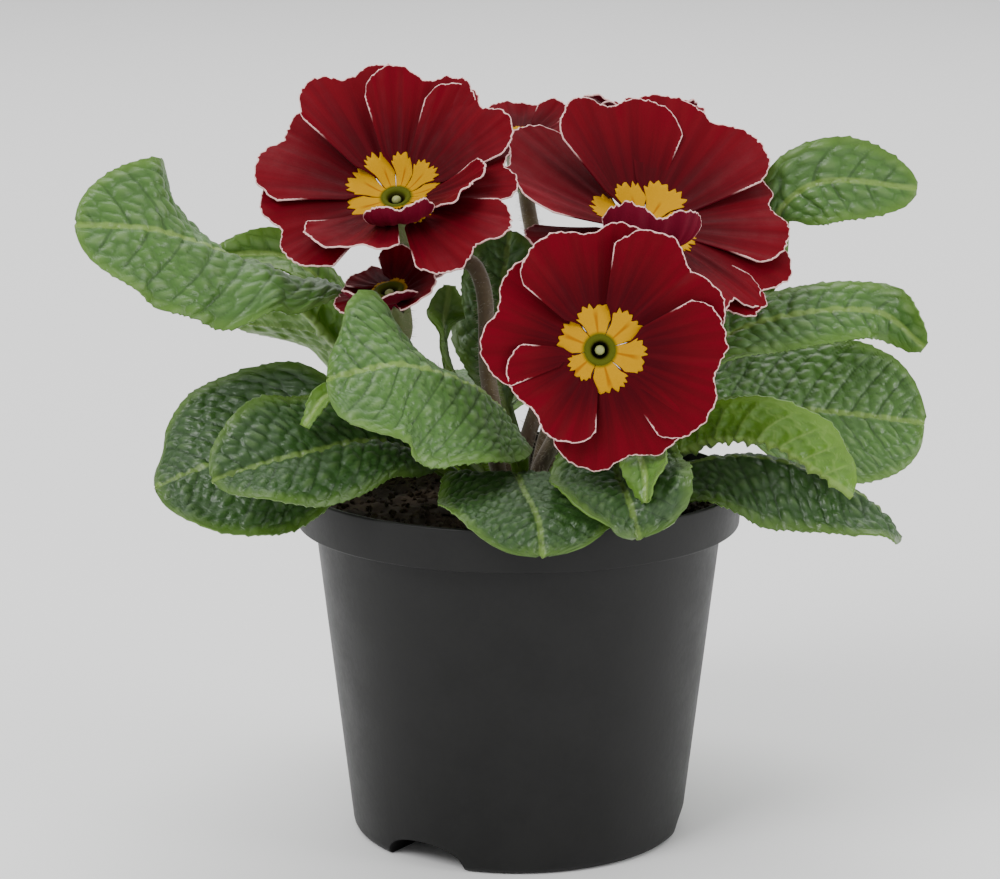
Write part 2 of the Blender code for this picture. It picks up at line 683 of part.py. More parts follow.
# Each petal: azimuth round the axis, length, rise and curl in degrees, and sideways tilt
BLOOMS = [
    dict(
        name="bloom_left",
        foot=(-2.5, 1.5), way=[(-7, -3, 108), (-10, -1, 134)],
        mouth=(-27.8, -10, 151.3), axis=(-0.08, -0.57, 0.82),
        plan=[
            (-43, 32, 13, -10, 8), (-9, 23.5, 20, 30, -8), (14, 28.5, 15, -8, 8), (47, 32, 27, -8, 8),
            (81, 33.5, 29, -4, 8), (116, 36, 27, -6, 8), (156, 33.5, 18, -10, 2), (211, 31, 9, -8, -8),
            (251, 28, 12, 20, 6), (285, 22, 4, 105, 0),
        ],
    ),
    dict(
        name="bloom_right",
        foot=(4.5, 3.5), way=[(13, 4, 110)],
        mouth=(29, 4, 143.2), axis=(0.15, -0.42, 0.88),
        plan=[
            (-67, 34.5, 0, -12, -6), (-47, 36, 0, -20, 8), (-3, 34.5, 11, -8, 9), (44, 38.5, 24, 0, 9),
            (94, 34.5, 33, 4, 9), (155, 38, 19, 4, 6), (212, 31, -2, 20, 9), (254, 30, 2, 120, 4),
        ],
    ),
    dict(
        name="bloom_front",
        foot=(3.5, -4), way=[(9, -14, 98)],
        mouth=(17.3, -48, 123.3), axis=(-0.02, -0.975, 0.24),
        plan=[
            (-11, 28, 4, 0, 9), (42, 29, 6, 4, 9), (97, 28, 8, 4, 9), (158, 26.5, 8, 4, 9),
            (222, 22, 12, 4, -9), (286, 26.5, -4, -4, 2),
        ],
    ),
    dict(
        name="bloom_small",
        foot=(-4, -5), way=[(-13, -19, 108)],
        mouth=(-29.3, -18, 131.3), axis=(-0.15, -0.36, 0.92),
        plan=[
            (15, 13, 18, 20, 8), (80, 15, 10, 20, 8), (140, 13, -6, 10, 8), (195, 13, -10, 10, 6),
            (268, 13.5, 8, 70, 0),
        ],
        rows=3,
    ),
    dict(
        name="bloom_back",
        foot=(0, 7), way=[(8, 21, 112)],
        mouth=(0.5, 34, 160.5), axis=(-0.1, -0.25, 0.96),
        plan=even_petals(5, 36, 15, 14, 10, 10), rows=3,
    ),
    dict(
        name="bloom_far",
        foot=(6, 8.5), way=[(19, 24, 112)],
        mouth=(30, 48, 162.5), axis=(0.05, 0.1, 0.99),
        plan=even_petals(6, 30, 16.5, 25, -10, 11), rows=3,
    ),
]

# Each leaf as leaf() takes it: foot, points its midrib passes through, half width and how it folds
LEAVES = [
    dict(name="leaf_left_high", foot=(-8.5, -1.5), wide=20.5, stalk=0.2, peak=0.62, rows=12,
         way=[(-24, 3, 95), (-44, 0, 118), (-60, -14, 136.5), (-80, -30, 147), (-97, -36, 149)],
         roll=(40, 55, 70, 70, 70, 45, -10, -50, -60),
         left=((0, 0, 10, 20, 20, -10, -20, -10, 0), (-95, -95, -95, -105, -125, -110, -40, 0, 0)),
         right=((50, 50, 50, 45, 25, -5, 0, 5, 10), 0)),
    dict(name="leaf_left_back", foot=(-8, 4.5), wide=6, stalk=0.3, columns=4,
         way=[(-24, 10, 100), (-42, 13, 124), (-55, 13, 134.5), (-73, 10, 135)],
         roll=(0, 0, -10, -30), left=(0, 0), right=(30, 0)),
    dict(name="leaf_center", foot=(0.5, -9.5), wide=21.5, stalk=0.2, peak=0.64,
         way=[(-1, -21, 100), (-9, -38, 113.3), (-25, -49, 120.5), (-35, -52, 119.5), (-42, -51, 117.5)],
         roll=(0, -20, -50), left=((-60, -50, -20), 0), right=((-60, -20, 25), 0)),
    dict(name="leaf_low_left", foot=(-11.5, -7), wide=22, stalk=0.42, peak=0.52,
         way=[(-33, -16, 97), (-54, -24, 98), (-75, -30, 92), (-82, -31, 89)],
         roll=(-20, -50, -50), left=(0, 0), right=((-60, -30, 18, -10, -25), 0)),
    dict(name="leaf_low_left_inner", foot=(-9.8, -12.2), wide=15, stalk=0.22, peak=0.62,
         way=[(-29, -30, 99), (-49, -43, 99), (-67, -50, 95)],
         roll=(-20, -40), left=((30, 20), (-60, -90, -30)), right=(20, 0)),
    dict(name="leaf_small", foot=(-4.8, -10.3), wide=2.8, stalk=0.4, columns=4,
         way=[(-15, -21, 96), (-29, -34, 112), (-42, -39, 112), (-47.5, -42.5, 105.5)],
         roll=-40, left=(-10, 0), right=(-10, 0)),
    dict(name="leaf_front", foot=(-1.5, -15.5), wide=20, stalk=0.15, peak=0.62,
         way=[(-1, -30, 92), (1, -42, 91), (4, -54, 87), (5, -59, 80)],
         left=((-8, 8), 0), right=(-3, 0)),
    dict(name="leaf_front_right", foot=(8.5, -16.5), wide=15.5, stalk=0.2, peak=0.65,
         way=[(20, -30, 95), (22, -42, 93), (24, -51, 90), (26, -55, 83)],
         left=(20, 0), right=(10, 0)),
    dict(name="leaf_front_young", foot=(6, -11.5), wide=6, stalk=0.25, columns=4,
         way=[(18, -30, 101), (25, -43, 101), (27, -50, 97), (27, -54, 91)],
         left=(10, 0), right=(10, 0)),
    dict(name="leaf_low_right", foot=(11.5, -9.5), wide=15.5, stalk=0.22, peak=0.55,
         way=[(41, -20, 93), (54, -25, 95), (67, -28, 92), (79, -29, 86), (87, -27, 77)],
         roll=(10, 20), left=((-45, -20), 0), right=((-50, -38, -50), 0)),
    dict(name="leaf_right_arched", foot=(9.5, -3.5), wide=11.5, stalk=0.25,
         way=[(39, -16, 95), (47, -24, 99), (57, -31, 99), (69, -36, 92), (74, -36, 88)],
         left=(45, 0), right=(75, 0)),
    dict(name="leaf_right_broad", foot=(15.5, 1.5), wide=20, stalk=0.2, peak=0.66,
         way=[(42, 4, 101), (57, 10, 99), (73, 15, 97), (98, 20, 93)],
         roll=(20, 55), left=(5, 0), right=(0, 0)),
    dict(name="leaf_right_upper", foot=(10, 3), wide=8.5, stalk=0.25,
         way=[(30, -1, 105), (42, -2, 115), (59, 5, 121), (84, 9, 122), (95, 5, 114)],
         roll=(20, 40), left=(10, 0), right=(-20, 0)),
    dict(name="leaf_right_top", foot=(11.5, 8.5), wide=10, stalk=0.7, peak=0.42, wing=3, rows=12,
         way=[(30, 17, 98), (52, 23, 113), (61, 22, 132), (62, 20, 144.5), (72, 18, 151.5), (94, 17, 150)],
         roll=(90, 80, 60), left=(0, 0), right=(0, 0)),
    dict(name="leaf_middle", foot=(1, 12.5), wide=11, stalk=0.3,
         way=[(-6, 20, 110), (-4, 23, 125), (-2, 24, 139)]),
    dict(name="leaf_young", foot=(-5.2, 9.8), wide=5, stalk=0.3, columns=4,
         way=[(-14, 4, 105), (-17, 3, 119), (-16, 4, 129)]),
    dict(name="leaf_back_left", foot=(-11.5, 9.5), wide=16, stalk=0.3, rows=8,
         way=[(-27, 24, 95), (-42, 38, 100), (-56, 50, 90)]),
    dict(name="leaf_back_middle", foot=(-4, 15), wide=19, stalk=0.25, rows=8,
         way=[(-8, 36, 98), (-12, 58, 98), (-14, 80, 82)]),
    dict(name="leaf_back_right", foot=(5.5, 17), wide=17, stalk=0.25, rows=8,
         way=[(12, 38, 94), (23, 60, 92), (30, 78, 78)]),
    dict(name="leaf_back_far_right", foot=(12, 14.5), wide=15, stalk=0.25, rows=8,
         way=[(34, 32, 88), (56, 42, 90), (74, 49, 78)]),
]


def main():
    clear_scene()
    make_pot()
    feet = [plant["foot"] for plant in BLOOMS + LEAVES]
    make_soil(feet)
    for plan in LEAVES:
        leaf(**plan)
    for plan in BLOOMS:
        bloom(**plan)


main()
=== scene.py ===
"""A potted primrose: puckered, toothed leaves and velvety white-edged blooms in a notched nursery pot.

Shapes are worked out in millimetres and turned to metres when each mesh is made. +Z is up and -Y is the
front of the plant. Azimuths are in degrees.
"""

import math

import bmesh
import bpy
import numpy as np
from mathutils import Matrix, Vector


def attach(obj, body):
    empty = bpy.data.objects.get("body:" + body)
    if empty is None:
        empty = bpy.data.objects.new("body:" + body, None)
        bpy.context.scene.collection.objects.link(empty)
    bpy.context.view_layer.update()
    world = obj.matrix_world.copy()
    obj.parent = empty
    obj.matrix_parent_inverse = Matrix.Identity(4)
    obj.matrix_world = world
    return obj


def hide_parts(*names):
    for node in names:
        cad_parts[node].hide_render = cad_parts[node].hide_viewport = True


bl_info = {
    "name": "Potted Primrose",
    "version": (1, 0, 0),
    "blender": (4, 5, 0),
    "location": "3D View > Sidebar > Primrose",
    "description": "Dresses a potted primrose with puckered leaves, velvety blooms, peat and a pot",
    "category": "Object",
}

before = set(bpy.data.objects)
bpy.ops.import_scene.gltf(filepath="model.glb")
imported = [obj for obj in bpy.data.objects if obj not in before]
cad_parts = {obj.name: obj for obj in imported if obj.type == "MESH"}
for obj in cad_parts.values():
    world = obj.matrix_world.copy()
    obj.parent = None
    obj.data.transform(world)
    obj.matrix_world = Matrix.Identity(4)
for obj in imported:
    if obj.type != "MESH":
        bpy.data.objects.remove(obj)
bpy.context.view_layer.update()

MM = 0.001
BODY = "root"
WELD = 0.003
FINE_WELD = 0.01
CUT_REACH = 6.0

# The nursery pot
POT_SIDES = 160
COLLAR_TAPER = 0.7
FLOOR_DISH = 0.4
# The radius of each corner of the wall's outline, from the middle of the base outside to the floor
POT_ROUNDS = (0, 2.2, 0.8, 0.49, 0.56, 0.56, 0.5, 0.6, 1.5, 0)
ROUND_STEPS = 6
POT_CREASE = 35
POCKET_AZIMUTHS = (-34.5, 85.5, 205.5)
POCKET_HALF_WIDTH = 10.6
POCKET_HEIGHT = 5.8
POCKET_INNER_RADIUS = 27.0
POCKET_SQUARENESS = 0.8
POCKET_SIDES = 36
DRAIN_RADIUS = 3.2
DRAIN_PLACE = 33.0
DRAIN_SIDES = 32

# The peat
SOIL_EDGE = 76.0
SOIL_MOUND = 2.0
SOIL_LUMP = 0.7
SOIL_RINGS = 44
SOIL_SPOKES = 140
SOIL_DEPTH = 8.0
LUMP_WAVES = (0.55, 0.47, 0.31, 0.83)
FINE_LUMP = 0.45
CRUMB_SLOPE = 0.5
CRUMB_ROUGHNESS = 1.6
# Shares of the crumb size along, across and up
SMALLEST_CRUMB = (0.12, 0.12, 0.08)
LARGEST_CRUMB = (0.65, 0.5, 0.4)
CRUMB_SEED_STEP = 5.0
# The clearance between the peat and what stands in it or holds it, then where stalks start and rise from
GAP = 0.3
FOOT_Z = 70.3
CROWN_Z = 79.5

# Leaves
PETIOLE_HALF_WIDTH = 1.6
PETIOLE_DEPTH = 2.8
RIB_DEPTH = 1.5
RIB_WIDTH = 1.3
TIP_HALF_WIDTH = 1.5
BLADE_FULLNESS = 0.45
RIPPLE_EDGE = 2.2
BLADE_START = 0.7
BLADE_OPENING = 0.25
FOOT_SHIFT_END = 0.12
AIM_POINT = np.array([0.0, 0.0, 260.0])
SIDE_VEINS = 15
VEIN_SLOPE = 0.55
VEIN_BEND = 0.012
CELL_WIDTH = 2.7
CELL_JITTER = 0.42
LEAF_ROW = 0.55
LEAF_CROWDING = 0.65
TOOTH_DRIFT = 0.6
TOOTH_OFFSET = 0.37
LOBE_DEPTH = 0.035
LOBE_LENGTH = 9.0
CRIMP = 0.55
CRIMP_LENGTH = 6.5
MIDRIB_GROOVE = 0.9
MIDRIB_DEPTH = 0.6
VEIN_GROOVE = 0.6
VEIN_RISE = 0.4
# How many millimetres one unit of the UV map spans
UV_SIZE = 100.0

# Blooms
MOUTH_RADIUS = 3.0
TUBE_RADIUS = 2.1
BORE_RADIUS = 1.25
TUBE_LENGTH = 13.0
PETAL_OVERLAP = 13.0
PETAL_PARTING = 0.7
PETAL_NOTCH = 0.09
NOTCH_WIDTH = 0.24
CORNER_ROUND = 0.2
OVERLAP_FROM = 0.14
RUFFLE = 0.6
RUFFLE_WAVES = 5.5
CURL_DELAY = 1.5
CURL_SHORTENS = 0.004
CURL_LIFTS = 0.006
PETAL_ROWS = 28
PETAL_COLUMNS = 80
PETAL_CROWDING = 0.55
EDGE_WAVE = 0.012
EDGE_NICK = 0.011
CREASE_HEIGHT = 0.12
CREASES = 16
EYE_SHARE = 0.36
EYE_ROWS = 9
EYE_COLUMNS = 64
EYE_WIDTH = 0.985
LOBE_TAPER = 0.3
LOBE_GAP = 0.22
LOBE_NOTCH = 0.08
LOBE_NOTCH_WIDTH = 0.1
EYE_TEETH = 8
EYE_TOOTH = 0.09
EYE_TOOTH_VARIES = 0.05
EYE_LIFT = 0.14
EYE_RISE = 0.25
EYE_THICKNESS = 0.1
TUBE_SIDES = 32
THROAT_SIDES = 40
PISTIL_SIDES = 20
STYLE_RADIUS = 0.5
STIGMA_RADIUS = 1.1
STIGMA_DEPTH = 0.6
STIGMA_FLATNESS = 0.8
CALYX_SEAT = 1.6
CALYX_RIM = 9.4
CALYX_RADIUS = 3.9
CALYX_WALL = 0.5
CALYX_TOOTH = 3.2
CALYX_TEETH = 5
CALYX_RIDGE = 0.35
STEM_SIDES = 30
STEM_ROWS = 60
# In metres, as the hairs' node tree takes them
HAIR_RADIUS = 0.00004
HAIR_TIP = 0.00001
HAIR_LEAN = 0.5

# Colours that the settings' own colours are mixed with
# The next colour is painted sheen that lightens and greys the leaves' raised cells
LEAF_SHEEN = (0.21, 0.33, 0.12)
LEAF_SHADE = (0.015, 0.05, 0.008)
# The next colour is painted shade in the sunken vein grooves
GROOVE_SHADE = (0.006, 0.024, 0.003)
UNDER_VEIN = (0.26, 0.38, 0.09)
UNDER_SHADE = (0.03, 0.09, 0.008)
# The next colour is a painted glow of light shining through a leaf's thin margin
PAINTED_MARGIN_GLOW = (0.13, 0.24, 0.015)
PETAL_UNDER_STREAK = (0.17, 0.006, 0.022)
VELVET_SHEEN = (1.0, 0.12, 0.18)
EYE_GOLD = (0.5, 0.27, 0.002)
# The next colour is painted shade deep in the throat's bore
BORE_PAINTED_SHADE = (0.02, 0.015, 0.004)
STEM_SPECK = (0.3, 0.25, 0.1)

# Each light: name, place, what it points at, size and power
PLANT_MIDDLE = (0, 0, 0.1)
LIGHTS = [
    ("key", (-0.8, -0.9, 1.2), PLANT_MIDDLE, 0.7, 18.0),
    ("fill", (1.2, -0.5, 0.4), PLANT_MIDDLE, 0.5, 7.0),
    ("top", (0.1, 1.2, 2.4), (0.0, 1.0, 0.0), 2.5, 60.0),
]
CAMERA_PLACE = (-0.0043, -0.6908, 0.242)
CAMERA_TILT = 77.84
SENSOR_WIDTH = 36.0


def length(name, description, default):
    """A length that a user would change."""
    return bpy.props.FloatProperty(name=name, description=description, default=default, unit="LENGTH")


def amount(name, description, default):
    """A plain number that a user would change."""
    return bpy.props.FloatProperty(name=name, description=description, default=default)


def seed_of(description, default):
    """The seed of a random draw."""
    return bpy.props.IntProperty(name="Seed", description=description, default=default)


def tint(name, description, *default):
    """A colour that a user would change."""
    return bpy.props.FloatVectorProperty(
        name=name, description=description, subtype="COLOR", default=default
    )


class PotSettings(bpy.types.PropertyGroup):
    """Sizes and colours of the nursery pot."""

    height: length("Height", "Height of the pot", 0.084)
    rim_radius: length("Rim Radius", "Outer radius at the top", 0.0525)
    shoulder_radius: length("Shoulder Radius", "Outer radius just under the collar", 0.0477)
    base_radius: length("Base Radius", "Outer radius at the bottom", 0.0391)
    collar: length("Collar Height", "Height of the wider band at the top", 0.0098)
    wall: length("Wall", "Thickness of the plastic", 0.0012)
    colour: tint("Colour", "Colour of the plastic", 0.007, 0.007, 0.0068)


class PeatSettings(bpy.types.PropertyGroup):
    """The peat and its crumbs."""

    crumb_size: length("Crumb Size", "Size of the largest crumbs", 0.0024)
    crumb_density: amount("Crumb Density", "Crumbs per square metre", 160000.0)
    seed: seed_of("Seed of the crumbs' places", 4)
    colour: tint("Colour", "Colour of damp peat", 0.014, 0.010, 0.007)
    dry_colour: tint("Dry Colour", "Colour of the crumbs that have dried", 0.05, 0.034, 0.022)


class LeafSettings(bpy.types.PropertyGroup):
    """Sizes and colours of the leaves."""

    thickness: length("Thickness", "Thickness of the blade", 0.0005)
    pucker: length("Pucker", "How far the blade swells between its veins", 0.00075)
    groove: length("Groove", "How deep the side veins lie", 0.0005)
    tooth: length("Tooth", "How far the margin's teeth stand out", 0.00065)
    tooth_spacing: length("Tooth Spacing", "Distance from tooth to tooth", 0.0021)
    top_colour: tint("Top", "Upper face of a grown leaf", 0.062, 0.150, 0.026)
    # The low leaves' darker green is painted shade
    low_shade_colour: tint("Low Leaves", "Upper face of the low, shaded leaves", 0.024, 0.068, 0.012)
    young_colour: tint("Young Leaves", "Upper face of the young leaves", 0.085, 0.19, 0.025)
    under_colour: tint("Underside", "Lower face of the leaves", 0.105, 0.23, 0.02)
    vein_colour: tint("Veins", "Midrib, side veins and margin", 0.22, 0.34, 0.07)


class BloomSettings(bpy.types.PropertyGroup):
    """Sizes and colours of the blooms."""

    thickness: length("Petal Thickness", "Thickness of a petal", 0.00035)
    edge_width: length("Edge Width", "Width of the pale line round each petal", 0.0003)
    frill: length("Frill", "Height of the small waves in a petal's edge", 0.0005)
    red: tint("Petal", "Outer part of a petal's upper face", 0.128, 0.0008, 0.006)
    # The petal's middle colour is its own deeper red with painted shade mixed in
    deep_red: tint("Petal Middle", "Petal near the eye", 0.05, 0.0006, 0.003)
    under_red: tint("Petal Underside", "Lower face of a petal", 0.12, 0.003, 0.015)
    edge_colour: tint("Petal Edge", "The pale line round each petal", 0.8, 0.5, 0.48)
    eye_colour: tint("Eye", "The star round the throat", 0.46, 0.225, 0.0)
    eye_line_colour: tint("Eye Lines", "Line down each lobe of the eye", 0.3, 0.085, 0.001)
    throat_colour: tint("Throat", "Inside the tube's mouth", 0.075, 0.085, 0.008)
    stigma_colour: tint("Stigma", "The pin in the throat", 0.3, 0.33, 0.11)


class StemSettings(bpy.types.PropertyGroup):
    """Sizes and colours of the flower stems."""

    radius: length("Radius", "Radius of a flower stem", 0.0019)
    hair_length: length("Hair Length", "Length of the stem's hairs", 0.0014)
    hair_density: amount("Hair Density", "Hairs per square metre", 900000.0)
    seed: seed_of("Seed of the hairs' places", 7)
    colour: tint("Stem", "The rosy flower stems", 0.085, 0.05, 0.025)
    calyx_colour: tint("Calyx", "The cup under a bloom", 0.1, 0.14, 0.03)
    hair_colour: tint("Hairs", "The pale hairs on the stems", 0.45, 0.4, 0.32)


class StageSettings(bpy.types.PropertyGroup):
    """Floor, light and camera."""

    floor_size: length("Floor Size", "Side of the square floor", 8.0)
    floor_colour: tint("Floor", "Colour of the floor", 0.86, 0.86, 0.86)
    sky: amount("Sky", "Strength of the even light from all round", 0.75)
    lens: amount("Lens", "Focal length of the camera in millimetres", 108.8)


def even_petals(count, first, long, rise, curl, fan):
    """Petals of one kind all round."""
    return [(first + k * 360 / count, long, rise, curl, fan) for k in range(count)]


# Each petal: azimuth round the axis, length, rise and curl in degrees, and sideways tilt
BLOOMS = [
    dict(
        name="left",
        foot=(-2.5, 1.5), way=[(-7, -3, 108), (-10, -1, 134)],
        mouth=(-27.8, -10, 151.3), axis=(-0.08, -0.57, 0.82),
        plan=[
            (-43, 32, 13, -10, 8), (-9, 23.5, 20, 30, -8), (14, 28.5, 15, -8, 8), (47, 32, 27, -8, 8),
            (81, 33.5, 29, -4, 8), (116, 36, 27, -6, 8), (156, 33.5, 18, -10, 2), (211, 31, 9, -8, -8),
            (251, 28, 12, 20, 6), (285, 22, 4, 105, 0),
        ],
    ),
    dict(
        name="right",
        foot=(4.5, 3.5), way=[(13, 4, 110)],
        mouth=(29, 4, 143.2), axis=(0.15, -0.42, 0.88),
        plan=[
            (-67, 34.5, 0, -12, -6), (-47, 36, 0, -20, 8), (-3, 34.5, 11, -8, 9), (44, 38.5, 24, 0, 9),
            (94, 34.5, 33, 4, 9), (155, 38, 19, 4, 6), (212, 31, -2, 20, 9), (254, 30, 2, 120, 4),
        ],
    ),
    dict(
        name="front",
        foot=(3.5, -4), way=[(9, -14, 98)],
        mouth=(17.3, -48, 123.3), axis=(-0.02, -0.975, 0.24),
        plan=[
            (-11, 28, 4, 0, 9), (42, 29, 6, 4, 9), (97, 28, 8, 4, 9), (158, 26.5, 8, 4, 9),
            (222, 22, 12, 4, -9), (286, 26.5, -4, -4, 2),
        ],
    ),
    dict(
        name="small",
        foot=(-4, -5), way=[(-13, -19, 108)],
        mouth=(-29.3, -18, 131.3), axis=(-0.15, -0.36, 0.92),
        plan=[
            (15, 13, 18, 20, 8), (80, 15, 10, 20, 8), (140, 13, -6, 10, 8), (195, 13, -10, 10, 6),
            (268, 13.5, 8, 70, 0),
        ],
    ),
    dict(
        name="back",
        foot=(0, 7), way=[(8, 21, 112)],
        mouth=(0.5, 34, 160.5), axis=(-0.1, -0.25, 0.96),
        plan=even_petals(5, 36, 15, 14, 10, 10),
    ),
    dict(
        name="far",
        foot=(6, 8.5), way=[(19, 24, 112)],
        mouth=(30, 48, 162.5), axis=(0.05, 0.1, 0.99),
        plan=even_petals(6, 30, 16.5, 25, -10, 11),
    ),
]

# Each leaf: foot, points its midrib passes through, half width, how it folds, its colouring and detail; the
# dark colouring paints shade on the low leaves
LEAVES = [
    dict(name="left_high", foot=(-8.5, -1.5), wide=20.5, stalk=0.2, peak=0.62,
         way=[(-24, 3, 95), (-44, 0, 118), (-60, -14, 136.5), (-80, -30, 147), (-97, -36, 149)],
         roll=(40, 55, 70, 70, 70, 45, -10, -50, -60),
         left=((0, 0, 10, 20, 20, -10, -20, -10, 0), (-95, -95, -95, -105, -125, -110, -40, 0, 0)),
         right=((50, 50, 50, 45, 25, -5, 0, 5, 10), 0)),
    dict(name="left_back", foot=(-8, 4.5), wide=6, stalk=0.3, age="young",
         way=[(-24, 10, 100), (-42, 13, 124), (-55, 13, 134.5), (-73, 10, 135)],
         roll=(0, 0, -10, -30), left=(0, 0), right=(30, 0)),
    dict(name="center", foot=(0.5, -9.5), wide=21.5, stalk=0.2, peak=0.64,
         way=[(-1, -21, 100), (-9, -38, 113.3), (-25, -49, 120.5), (-35, -52, 119.5), (-42, -51, 117.5)],
         roll=(0, -20, -50), left=((-60, -50, -20), 0), right=((-60, -20, 25), 0)),
    dict(name="low_left", foot=(-11.5, -7), wide=22, stalk=0.42, peak=0.52, age="dark",
         way=[(-33, -16, 97), (-54, -24, 98), (-75, -30, 92), (-82, -31, 89)],
         roll=(-20, -50, -50), left=(0, 0), right=((-60, -30, 18, -10, -25), 0)),
    dict(name="low_left_inner", foot=(-9.8, -12.2), wide=15, stalk=0.22, peak=0.62, age="dark",
         way=[(-29, -30, 99), (-49, -43, 99), (-67, -50, 95)],
         roll=(-20, -40), left=((30, 20), (-60, -90, -30)), right=(20, 0)),
    dict(name="small", foot=(-4.8, -10.3), wide=2.8, stalk=0.4, age="young",
         way=[(-15, -21, 96), (-29, -34, 112), (-42, -39, 112), (-47.5, -42.5, 105.5)],
         roll=-40, left=(-10, 0), right=(-10, 0)),
    dict(name="front", foot=(-1.5, -15.5), wide=20, stalk=0.15, peak=0.62, age="dark",
         way=[(-1, -30, 92), (1, -42, 91), (4, -54, 87), (5, -59, 80)],
         left=((-8, 8), 0), right=(-3, 0)),
    dict(name="front_right", foot=(8.5, -16.5), wide=15.5, stalk=0.2, peak=0.65, age="dark",
         way=[(20, -30, 95), (22, -42, 93), (24, -51, 90), (26, -55, 83)],
         left=(20, 0), right=(10, 0)),
    dict(name="front_young", foot=(6, -11.5), wide=6, stalk=0.25, age="young",
         way=[(18, -30, 101), (25, -43, 101), (27, -50, 97), (27, -54, 91)],
         left=(10, 0), right=(10, 0)),
    dict(name="low_right", foot=(11.5, -9.5), wide=15.5, stalk=0.22, peak=0.55, age="dark",
         way=[(41, -20, 93), (54, -25, 95), (67, -28, 92), (79, -29, 86), (87, -27, 77)],
         roll=(10, 20), left=((-45, -20), 0), right=((-50, -38, -50), 0)),
    dict(name="right_arched", foot=(9.5, -3.5), wide=11.5, stalk=0.25,
         way=[(39, -16, 95), (47, -24, 99), (57, -31, 99), (69, -36, 92), (74, -36, 88)],
         left=(45, 0), right=(75, 0)),
    dict(name="right_broad", foot=(15.5, 1.5), wide=20, stalk=0.2, peak=0.66,
         way=[(42, 4, 101), (57, 10, 99), (73, 15, 97), (98, 20, 93)],
         roll=(20, 55), left=(5, 0), right=(0, 0)),
    dict(name="right_upper", foot=(10, 3), wide=8.5, stalk=0.25,
         way=[(30, -1, 105), (42, -2, 115), (59, 5, 121), (84, 9, 122), (95, 5, 114)],
         roll=(20, 40), left=(10, 0), right=(-20, 0)),
    dict(name="right_top", foot=(11.5, 8.5), wide=10, stalk=0.7, peak=0.42, wing=3,
         way=[(30, 17, 98), (52, 23, 113), (61, 22, 132), (62, 20, 144.5), (72, 18, 151.5), (94, 17, 150)],
         roll=(90, 80, 60), left=(0, 0), right=(0, 0)),
    dict(name="middle", foot=(1, 12.5), wide=11, stalk=0.3,
         way=[(-6, 20, 110), (-4, 23, 125), (-2, 24, 139)]),
    dict(name="young", foot=(-5.2, 9.8), wide=5, stalk=0.3, age="young",
         way=[(-14, 4, 105), (-17, 3, 119), (-16, 4, 129)]),
    dict(name="back_left", foot=(-11.5, 9.5), wide=16, stalk=0.3, fine=0.7,
         way=[(-27, 24, 95), (-42, 38, 100), (-56, 50, 90)]),
    dict(name="back_middle", foot=(-4, 15), wide=19, stalk=0.25, fine=0.7,
         way=[(-8, 36, 98), (-12, 58, 98), (-14, 80, 82)]),
    dict(name="back_right", foot=(5.5, 17), wide=17, stalk=0.25, fine=0.7,
         way=[(12, 38, 94), (23, 60, 92), (30, 78, 78)]),
    dict(name="back_far_right", foot=(12, 14.5), wide=15, stalk=0.25, fine=0.7,
         way=[(34, 32, 88), (56, 42, 90), (74, 49, 78)]),
]


# Shapes

def unit(vectors):
    vectors = np.asarray(vectors, float)
    return vectors / np.linalg.norm(vectors, axis=-1, keepdims=True)


def ease(value, start, end):
    """0 before start and 1 after end, with a smooth run between; end may be below start."""
    part = np.clip((np.asarray(value, float) - start) / (end - start), 0, 1)
    return part * part * (3 - 2 * part)


def hashed(*numbers):
    """A fixed scatter of values from 0 to 1 for whole numbers."""
    mixed = sum(np.asarray(n, float) * k for n, k in zip(numbers, (127.1, 311.7, 74.7, 19.3)))
    return np.mod(np.sin(mixed) * 43758.5453, 1)


def drift(place, seed):
    """A smooth random run from -1 to 1 along a line, one step for each whole number."""
    place = np.asarray(place, float)
    whole = np.floor(place)
    part = ease(place - whole, 0, 1)
    return (hashed(whole, seed) * (1 - part) + hashed(whole + 1, seed) * part) * 2 - 1


def blend(values, share):
    """A smooth run through values spread evenly from base to tip."""
    values = np.atleast_1d(np.asarray(values, float))
    if len(values) == 1:
        return np.full(np.shape(share), values[0])
    place = np.clip(share, 0, 1) * (len(values) - 1)
    low = np.minimum(place.astype(int), len(values) - 2)
    part = ease(place - low, 0, 1)
    return values[low] * (1 - part) + values[low + 1] * part


def smooth_path(points, first, last, shares):
    """Places, directions and length of a smooth curve through the points, at these shares of it.
    first and last are the directions at its ends, and last may be None."""
    points = np.asarray(points, float)
    steps = np.diff(points, axis=0)
    spans = np.linalg.norm(steps, axis=1)
    slopes = np.empty_like(points)
    slopes[1:-1] = (points[2:] - points[:-2]) / (spans[1:] + spans[:-1])[:, None]
    slopes[0] = unit(first)
    slopes[-1] = unit(steps[-1]) if last is None else unit(last)
    fine = []
    for i, span in enumerate(spans):
        t = np.linspace(0, 1, 40, endpoint=False)[:, None]
        fine.append(
            (2 * t**3 - 3 * t**2 + 1) * points[i]
            + (t**3 - 2 * t**2 + t) * span * slopes[i]
            + (3 * t**2 - 2 * t**3) * points[i + 1]
            + (t**3 - t**2) * span * slopes[i + 1]
        )
    fine = np.vstack([*fine, points[-1:]])
    run = np.concatenate([[0], np.cumsum(np.linalg.norm(np.diff(fine, axis=0), axis=1))])
    want = np.asarray(shares) * run[-1]
    places, ahead, behind = (
        np.column_stack([np.interp(want + step, run, fine[:, k]) for k in range(3)])
        for step in (0, 1.5, -1.5)
    )
    return places, unit(ahead - behind), run[-1]


def turned(vectors, axes, degrees):
    """Vectors turned about their axes, by one angle for each."""
    angle = np.radians(degrees)[:, None]
    along = (vectors * axes).sum(1)[:, None]
    swung = vectors * np.cos(angle) + np.cross(axes, vectors) * np.sin(angle)
    return swung + axes * along * (1 - np.cos(angle))


